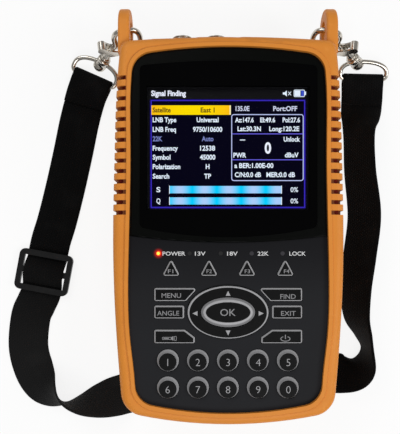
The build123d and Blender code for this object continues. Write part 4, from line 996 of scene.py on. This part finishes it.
# In mm: middle of the bar, its direction, the direction of the crown and how high it is, hub,
# axis of the hub, middle of the ear's hole, the hook's own two directions from there, and how
# far the hub lies along them.
clasp_frames = {
    "left": (
        (-66.25, 76.45, 3.05), (0.9078, -0.4195, 0.0), (0.4029, 0.8719, 0.2783), 9.162,
        (-61.3787, 83.8932, 5.6), (0.532, 0.3, 0.7918), (-47.0, 92.0, 27.0),
        (0.9891, 0.1399, -0.0457), (0.0068, 0.2663, 0.9639), (14.3787, 22.8841),
    ),
    "right": (
        (68.9, 76.55, 3.05), (0.9993, -0.0366, 0.0), (0.0348, 0.9499, 0.3107), 8.2062,
        (64.5889, 84.5133, 5.6), (-0.613, 0.2609, 0.7458), (47.0, 92.0, 27.0),
        (-0.9905, 0.1319, -0.0384), (-0.0074, 0.2279, 0.9737), (17.5889, 22.6718),
    ),
}
# Radius and distance along the hub's axis, in mm.
hub_outline = [
    (1.68, -3.6), (1.9, -3.8), (2.7, -3.8), (3.1, -3.5), (3.2, -3.0), (3.2, -1.2), (2.95, -0.9),
    (2.95, 0.9), (3.2, 1.2), (3.2, 3.0), (3.1, 3.5), (2.7, 3.8), (1.9, 3.8), (1.68, 3.6),
]
post_outline = [
    (0.05, -4.9), (1.7, -4.9), (2.3, -4.6), (2.4, -4.2), (2.4, -3.9), (1.6, -3.85), (1.6, 3.85),
    (2.4, 3.9), (2.4, 5.0), (2.2, 5.4), (0.05, 5.4),
]
# The hook's wire in its own two directions, and its radius, in mm.
hook_rows = [
    (-6.1, -9.2, 1.4), (-6.0, -4.2, 1.3), (-4.8, -1.0, 1.3), (-2.2, 0.3, 1.3), (2.2, 0.3, 1.3),
    (4.8, -1.0, 1.3), (6.0, -4.4, 1.3), (6.1, -10.0, 1.3), (6.0, -14.4, 1.25), (4.9, -17.0, 1.15),
]
neck_rows = ((5.0, 2.0), (6.6, 1.75), (8.8, 1.5))
trigger_pivot = np.array([-6.5, -10.2])
pivot_share = 0.35
pivot_radius = 1.45
for side, values in clasp_frames.items():
    middle, along, rise, high, hub, axis, ear, inward, away, reach = [np.array(v) for v in values]
    middle, hub, ear, high = middle / 1000, hub / 1000, ear / 1000, high / 1000
    quarter = np.linspace(-np.pi / 2, 0, 8, endpoint=False)
    crown = np.linspace(0, np.pi, 60)
    corner_a = loop_half - loop_corner + loop_corner * np.cos(quarter)
    corner_b = loop_corner + loop_corner * np.sin(quarter)
    crown_a = loop_half * np.sign(np.cos(crown)) * np.abs(np.cos(crown)) ** crown_width
    crown_b = loop_corner + (high - loop_corner) * np.sin(crown) ** crown_rise
    a = np.hstack([corner_a, crown_a, -corner_a[::-1]])
    b = np.hstack([corner_b, crown_b, corner_b[::-1]])
    path = middle + a[:, None] * along + b[:, None] * rise
    ring = tube(path, wire_radius, np.cross(along, rise), True)
    points, faces = joined([ring, lathe(hub_outline, hub, axis)])
    made = piece(side + "_loop_wire", points, faces, "meter", clasp_finish)
    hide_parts(side + "_d_loop")
    pull = reach / np.linalg.norm(reach)
    start = [(*(pull * distance - reach), radius) for distance, radius in neck_rows]
    neck = np.array(start[-1][:2])
    pivot = neck + (trigger_pivot - neck) * pivot_share
    rows = smooth_rows(np.array([*start, (*pivot, pivot_radius), *hook_rows]), 8)
    path = ear + (rows[:, :1] * inward + rows[:, 1:2] * away) / 1000
    wire = tube(path, rows[:, 2] / 1000, np.cross(inward, away), False)
    points, faces = joined([wire, lathe(post_outline, hub, axis)])
    body = body_with[side + "_hook"]
    made = piece(side + "_hook_wire", points, faces, body, clasp_finish)
    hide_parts(side + "_hook")
    coat(clasp_finish, side + "_trigger")


# Shoulder strap: black polypropylene webbing 20 mm wide, folded round the bar of each D-loop
# and stitched. It lies in the curve in which it was laid down, turned over once on the left.
strap_width = 0.020
strap_thickness = 0.0013
strap_lift = 0.00005
strap_climb = 0.0036
# The strap's route from the right D-loop to the left: x, y, its roll about its length in
# degrees, 1 where it climbs over the slider, and 1 where it lies double.
strap_rows = np.array(
    [
        (0.06882, 0.07435, 0, 0, 1),
        (0.06860, 0.06700, -6, 0, 1),
        (0.06700, 0.05700, -32, 0, 0),
        (0.06560, 0.04800, -55, 0, 0),
        (0.06600, 0.03000, -56, 0, 0),
        (0.06820, 0.00800, -52, 0, 0),
        (0.06600, -0.01200, -52, 0, 0),
        (0.06400, -0.02800, -56, 0, 0),
        (0.06420, -0.04200, -66, 0, 0),
        (0.06730, -0.05100, -80, 0, 0),
        (0.06940, -0.05850, -88, 0, 0),
        (0.06780, -0.06550, -70, 0, 0),
        (0.06360, -0.06940, -40, 0, 0),
        (0.05750, -0.07080, -14, 0, 0),
        (0.04950, -0.07150, 0, 0, 0),
        (0.02500, -0.07390, 0, 0, 0),
        (0.00000, -0.07630, 0, 0, 0),
        (-0.02500, -0.07870, 0, 0, 0),
        (-0.04500, -0.08070, 0, 0, 0),
        (-0.05400, -0.08190, -20, 0, 0),
        (-0.06300, -0.08330, -46, 0, 0),
        (-0.07150, -0.08440, -74, 0, 0),
        (-0.07900, -0.08420, -102, 0, 0),
        (-0.08600, -0.08170, -134, 0, 0),
        (-0.09220, -0.07640, -164, 0, 0),
        (-0.09680, -0.06800, -180, 0, 0),
        (-0.09920, -0.05700, -180, 0, 0),
        (-0.09800, -0.04300, -180, 0, 0),
        (-0.09520, -0.03600, -180, 0, 0),
        (-0.09295, -0.03110, -180, 0, 0),
        (-0.09221, -0.02738, -180, 0, 0),
        (-0.09130, -0.02246, -180, 1, 0),
        (-0.09050, -0.01814, -180, 1, 0),
        (-0.08959, -0.01322, -180, 0, 0),
        (-0.08890, -0.00950, -180, 0, 0),
        (-0.08750, -0.00350, -180, 0, 0),
        (-0.08460, 0.00600, -180, 0, 0),
        (-0.08060, 0.02200, -180, 0, 0),
        (-0.07680, 0.03900, -180, 0, 0),
        (-0.07330, 0.05600, -180, 0, 0),
        (-0.07010, 0.06760, -180, 0, 1),
        (-0.06717, 0.07445, -180, 0, 1),
    ]
)
bar_radius = 0.0012
bar_height = 0.00305
strap_bars = ((0.0689, 0.07655), (-0.06625, 0.07645))
hem_drop = 0.82

table = smooth_rows(strap_rows, 10)
roll = np.radians(np.clip(table[:, 2], -180, 0))
climb = np.clip(table[:, 3], 0, 1)
double = np.clip(table[:, 4], 0, 1)
run = unit(np.gradient(table[:, :2], axis=0))
right = np.stack([run[:, 1], -run[:, 0], np.zeros(len(run))], axis=1)
forward = np.hstack([run, np.zeros((len(run), 1))])
up = np.array([0.0, 0.0, 1.0])
wide = right * np.cos(roll)[:, None] + up * np.sin(roll)[:, None]
stack = strap_thickness * (1 + double)
level = (np.abs(np.sin(roll)) * strap_width + np.abs(np.cos(roll)) * stack) / 2
level = strap_lift + level + climb * strap_climb
centre = np.hstack([table[:, :2], level[:, None]])
over = np.cross(forward, wide)
over = over * np.where(over[:, 2:] < 0, -1, 1)
lower = centre - over * (double * strap_thickness / 2)[:, None]

ends = []
for end, (at, away) in enumerate(zip((0, -1), strap_bars)):
    beyond = unit(np.array([*away, 0.0]) - np.array([*table[at, :2], 0.0]))
    hub = np.array([*away, bar_height])
    swing = np.linspace(-np.pi / 2, np.pi / 2, 15)[:, None]
    bend = bar_radius + strap_thickness / 2
    hoop = hub + bend * (np.cos(swing) * beyond + np.sin(swing) * up)
    picks = np.arange(2, 15, 2)
    picks = picks if end == 0 else len(table) - 1 - picks
    fall = np.linspace(1, 0, len(picks)) ** 1.5
    back = centre[picks] + over[picks] * strap_thickness / 2
    crest = hub[2] + bend - back[0, 2]
    back = back + up * (fall * max(crest, 0.0) * hem_drop)[:, None]
    path = np.vstack([hoop, back])
    across = np.vstack([np.repeat(wide[at][None], len(hoop), axis=0), wide[picks]])
    ends.append((path, across))
spine = np.vstack([ends[0][0][::-1], lower, ends[1][0]])
across = unit(np.vstack([ends[0][1][::-1], wide, ends[1][1]]))
spine = smooth_rows(np.hstack([spine, across]), 2)
spine, across = spine[:, :3], unit(spine[:, 3:])
face_way = unit(np.cross(unit(np.gradient(spine, axis=0)), across))
length_at = np.hstack([0, np.cumsum(np.linalg.norm(np.diff(spine, axis=0), axis=1))])
strap_length = float(length_at[-1])

half = strap_width / 2
rounding = strap_thickness / 2
straight = half - rounding
selvedge_in, selvedge_width, selvedge_dip = 0.0016, 0.0005, 0.16
flat_x = np.linspace(-straight, straight, 13)
from_selvedge = (np.abs(flat_x) - (half - selvedge_in)) / selvedge_width
flat_y = rounding * (1 - selvedge_dip * np.exp(-(from_selvedge**2)))
bow = np.linspace(-np.pi / 2, np.pi / 2, 6)[1:-1]
bow_x, bow_y = straight + rounding * np.cos(bow), rounding * np.sin(bow)
ring_x = np.hstack([flat_x, bow_x, flat_x[::-1], -bow_x])[None, :, None]
ring_y = np.hstack([-flat_y, bow_y, flat_y[::-1], -bow_y])[None, :, None]
ribbon = spine[:, None] + across[:, None] * ring_x + face_way[:, None] * ring_y
rows, columns = ribbon.shape[:2]

ribs_to_metre, picks_to_metre = 830.0, 700.0
webbing_finish, place = finish(
    "webbing_finish", Sheen_Weight=0.03, Sheen_Roughness=0.5, Specular_IOR_Level=0.06
)
cloth = place.node("ShaderNodeUVMap", {"uv_map": "cloth"})
u, v = axes(cloth)[:2]
rib = u * ribs_to_metre
pick = v * picks_to_metre + rib.maths("SINE", rib * 3.1416) * 0.35
pick = pick.maths("SINE", pick * 6.2832) * 0.5 + 0.5
wale = rib.maths("SINE", rib * 6.2832) * 0.5 + 0.5
weave = pick * 0.6 + wale * 0.4
fuzz = grain(place, 1800.0, 3.0)
dust = ease(grain(place, 90.0, 4.0), 0.45, 0.75)
# A stretch of the strap at its lower left is lightened: a painted sheen where it catches the
# light. The sparse grey blots are dust.
painted_sheen = ease(v, strap_length * 0.45, strap_length * 0.5)
painted_sheen = painted_sheen * (1.0 - ease(v, strap_length * 0.66, strap_length * 0.8))
thread_colour_and_sheen = blend(weave, paint(1, 1, 1), paint(7, 7, 8))
thread_colour_and_sheen = blend(dust * 0.1 + painted_sheen * 0.4, thread_colour_and_sheen, paint(40, 40, 40))
lay(
    webbing_finish,
    Base_Color=thread_colour_and_sheen,
    Roughness=0.62 + fuzz * 0.25,
    Normal=relief(weave * 0.8 + fuzz * 0.2, 0.00022),
)
faces = closed_faces(rows, columns)[:, ::-1].tolist()
start_cap = np.arange(columns)
caps = [start_cap.tolist(), ((rows - 1) * columns + start_cap[::-1]).tolist()]
points = ribbon.reshape(-1, 3)
webbing_strap = piece("webbing_strap", points, faces + caps, "meter", webbing_finish)
mesh = webbing_strap.data
corner = np.empty(len(mesh.loops), int)
mesh.loops.foreach_get("vertex_index", corner)
uv = np.stack([ring_x.ravel()[corner % columns] + half, length_at[corner // columns]], axis=1)
mesh.uv_layers.new(name="cloth").data.foreach_set("uv", uv.astype(np.float32).ravel())
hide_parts("shoulder_strap")


# Slider: glossy black adjuster moulded in acetal with two slots, held by the strap alone,
# which climbs over its middle bar.
acetal = (5, 5, 6), (12, 12, 13), 500.0, 4.0, (0.3, 0.16), 0.00004
coat(mottled("slider_finish", *acetal, Specular_IOR_Level=0.3), "strap_slider")


# Studio: a white floor under a pale sky and three soft boxes, at the upper left, at the right
# and at the foot. The camera, and metal and glass that mirror the floor, see it mostly lit
# by itself.
floor_half = 3.0
floor_glow = 0.86
sky_light, sky_seen = 0.3, 0.68
lamp_aim = (0.0, 0.0, 0.03)

floor_finish, place = finish("floor_finish", Specular_IOR_Level=0.0)
lay(
    floor_finish,
    Base_Color=blend(grain(place, 3.0), (0.90, 0.90, 0.90, 1), (0.92, 0.92, 0.92, 1)),
    Roughness=0.8 + grain(place, 40.0) * 0.1,
)
tree = floor_finish.node_tree
camera_ray, glossy_ray, clear_ray = [
    place.node("ShaderNodeLightPath", out=f"Is {kind} Ray")
    for kind in ("Camera", "Glossy", "Transmission")
]
seen = place.maths("MINIMUM", camera_ray + glossy_ray + clear_ray, 1.0) * floor_glow
lit_floor = Tone(tree, tree.nodes["Principled BSDF"].outputs[0])
own_glow = place.node("ShaderNodeEmission")
mixed = place.node("ShaderNodeMixShader", None, {0: seen, 1: lit_floor, 2: own_glow})
tree.links.new(mixed.socket, tree.nodes["Material Output"].inputs["Surface"])
floor_corners = (-floor_half, -floor_half), (floor_half, floor_half)
floor_points, floor_faces = at_height(bar(*floor_corners), 0.0)
mesh = bpy.data.meshes.new("studio_floor")
mesh.from_pydata(floor_points, [], floor_faces)
mesh.materials.append(floor_finish)
studio_floor = bpy.data.objects.new("studio_floor", mesh)
bpy.context.scene.collection.objects.link(studio_floor)

sky = bpy.data.worlds.new("soft_sky")
sky.use_nodes = True
background = sky.node_tree.nodes["Background"]
background.inputs["Color"].default_value = (1.0, 1.0, 1.0, 1.0)
sky_ray = Tone(sky.node_tree, None).node("ShaderNodeLightPath", out="Is Camera Ray")
brightness = sky_ray * sky_seen + sky_light
sky.node_tree.links.new(brightness.socket, background.inputs["Strength"])
bpy.context.scene.world = sky

for name, at, size, power in (
    ("top_softbox", (-0.45, 0.65, 0.85), 0.55, 3.2),
    ("side_softbox", (0.75, -0.1, 0.8), 0.4, 3.6),
    ("low_softbox", (0.1, -0.7, 0.95), 0.5, 4.8),
):
    lamp = bpy.data.lights.new(name, "AREA")
    lamp.energy = power
    lamp.size = size
    softbox = bpy.data.objects.new(name, lamp)
    bpy.context.scene.collection.objects.link(softbox)
    softbox.location = np.subtract(at, lamp_aim)
    softbox.rotation_euler = softbox.location.to_track_quat("Z", "Y").to_euler()
    softbox.location = at

lens_view = bpy.data.cameras.new("photo_camera")
lens_view.sensor_width = 36.0
lens_view.lens = 52.79
lens_view.shift_y = (view_middle[1] - 434 / 2) / 434
photo_camera = bpy.data.objects.new("photo_camera", lens_view)
bpy.context.scene.collection.objects.link(photo_camera)
photo_camera.location = (*view_foot, view_height)
bpy.context.scene.camera = photo_camera
bpy.context.scene.view_settings.view_transform = "Standard"
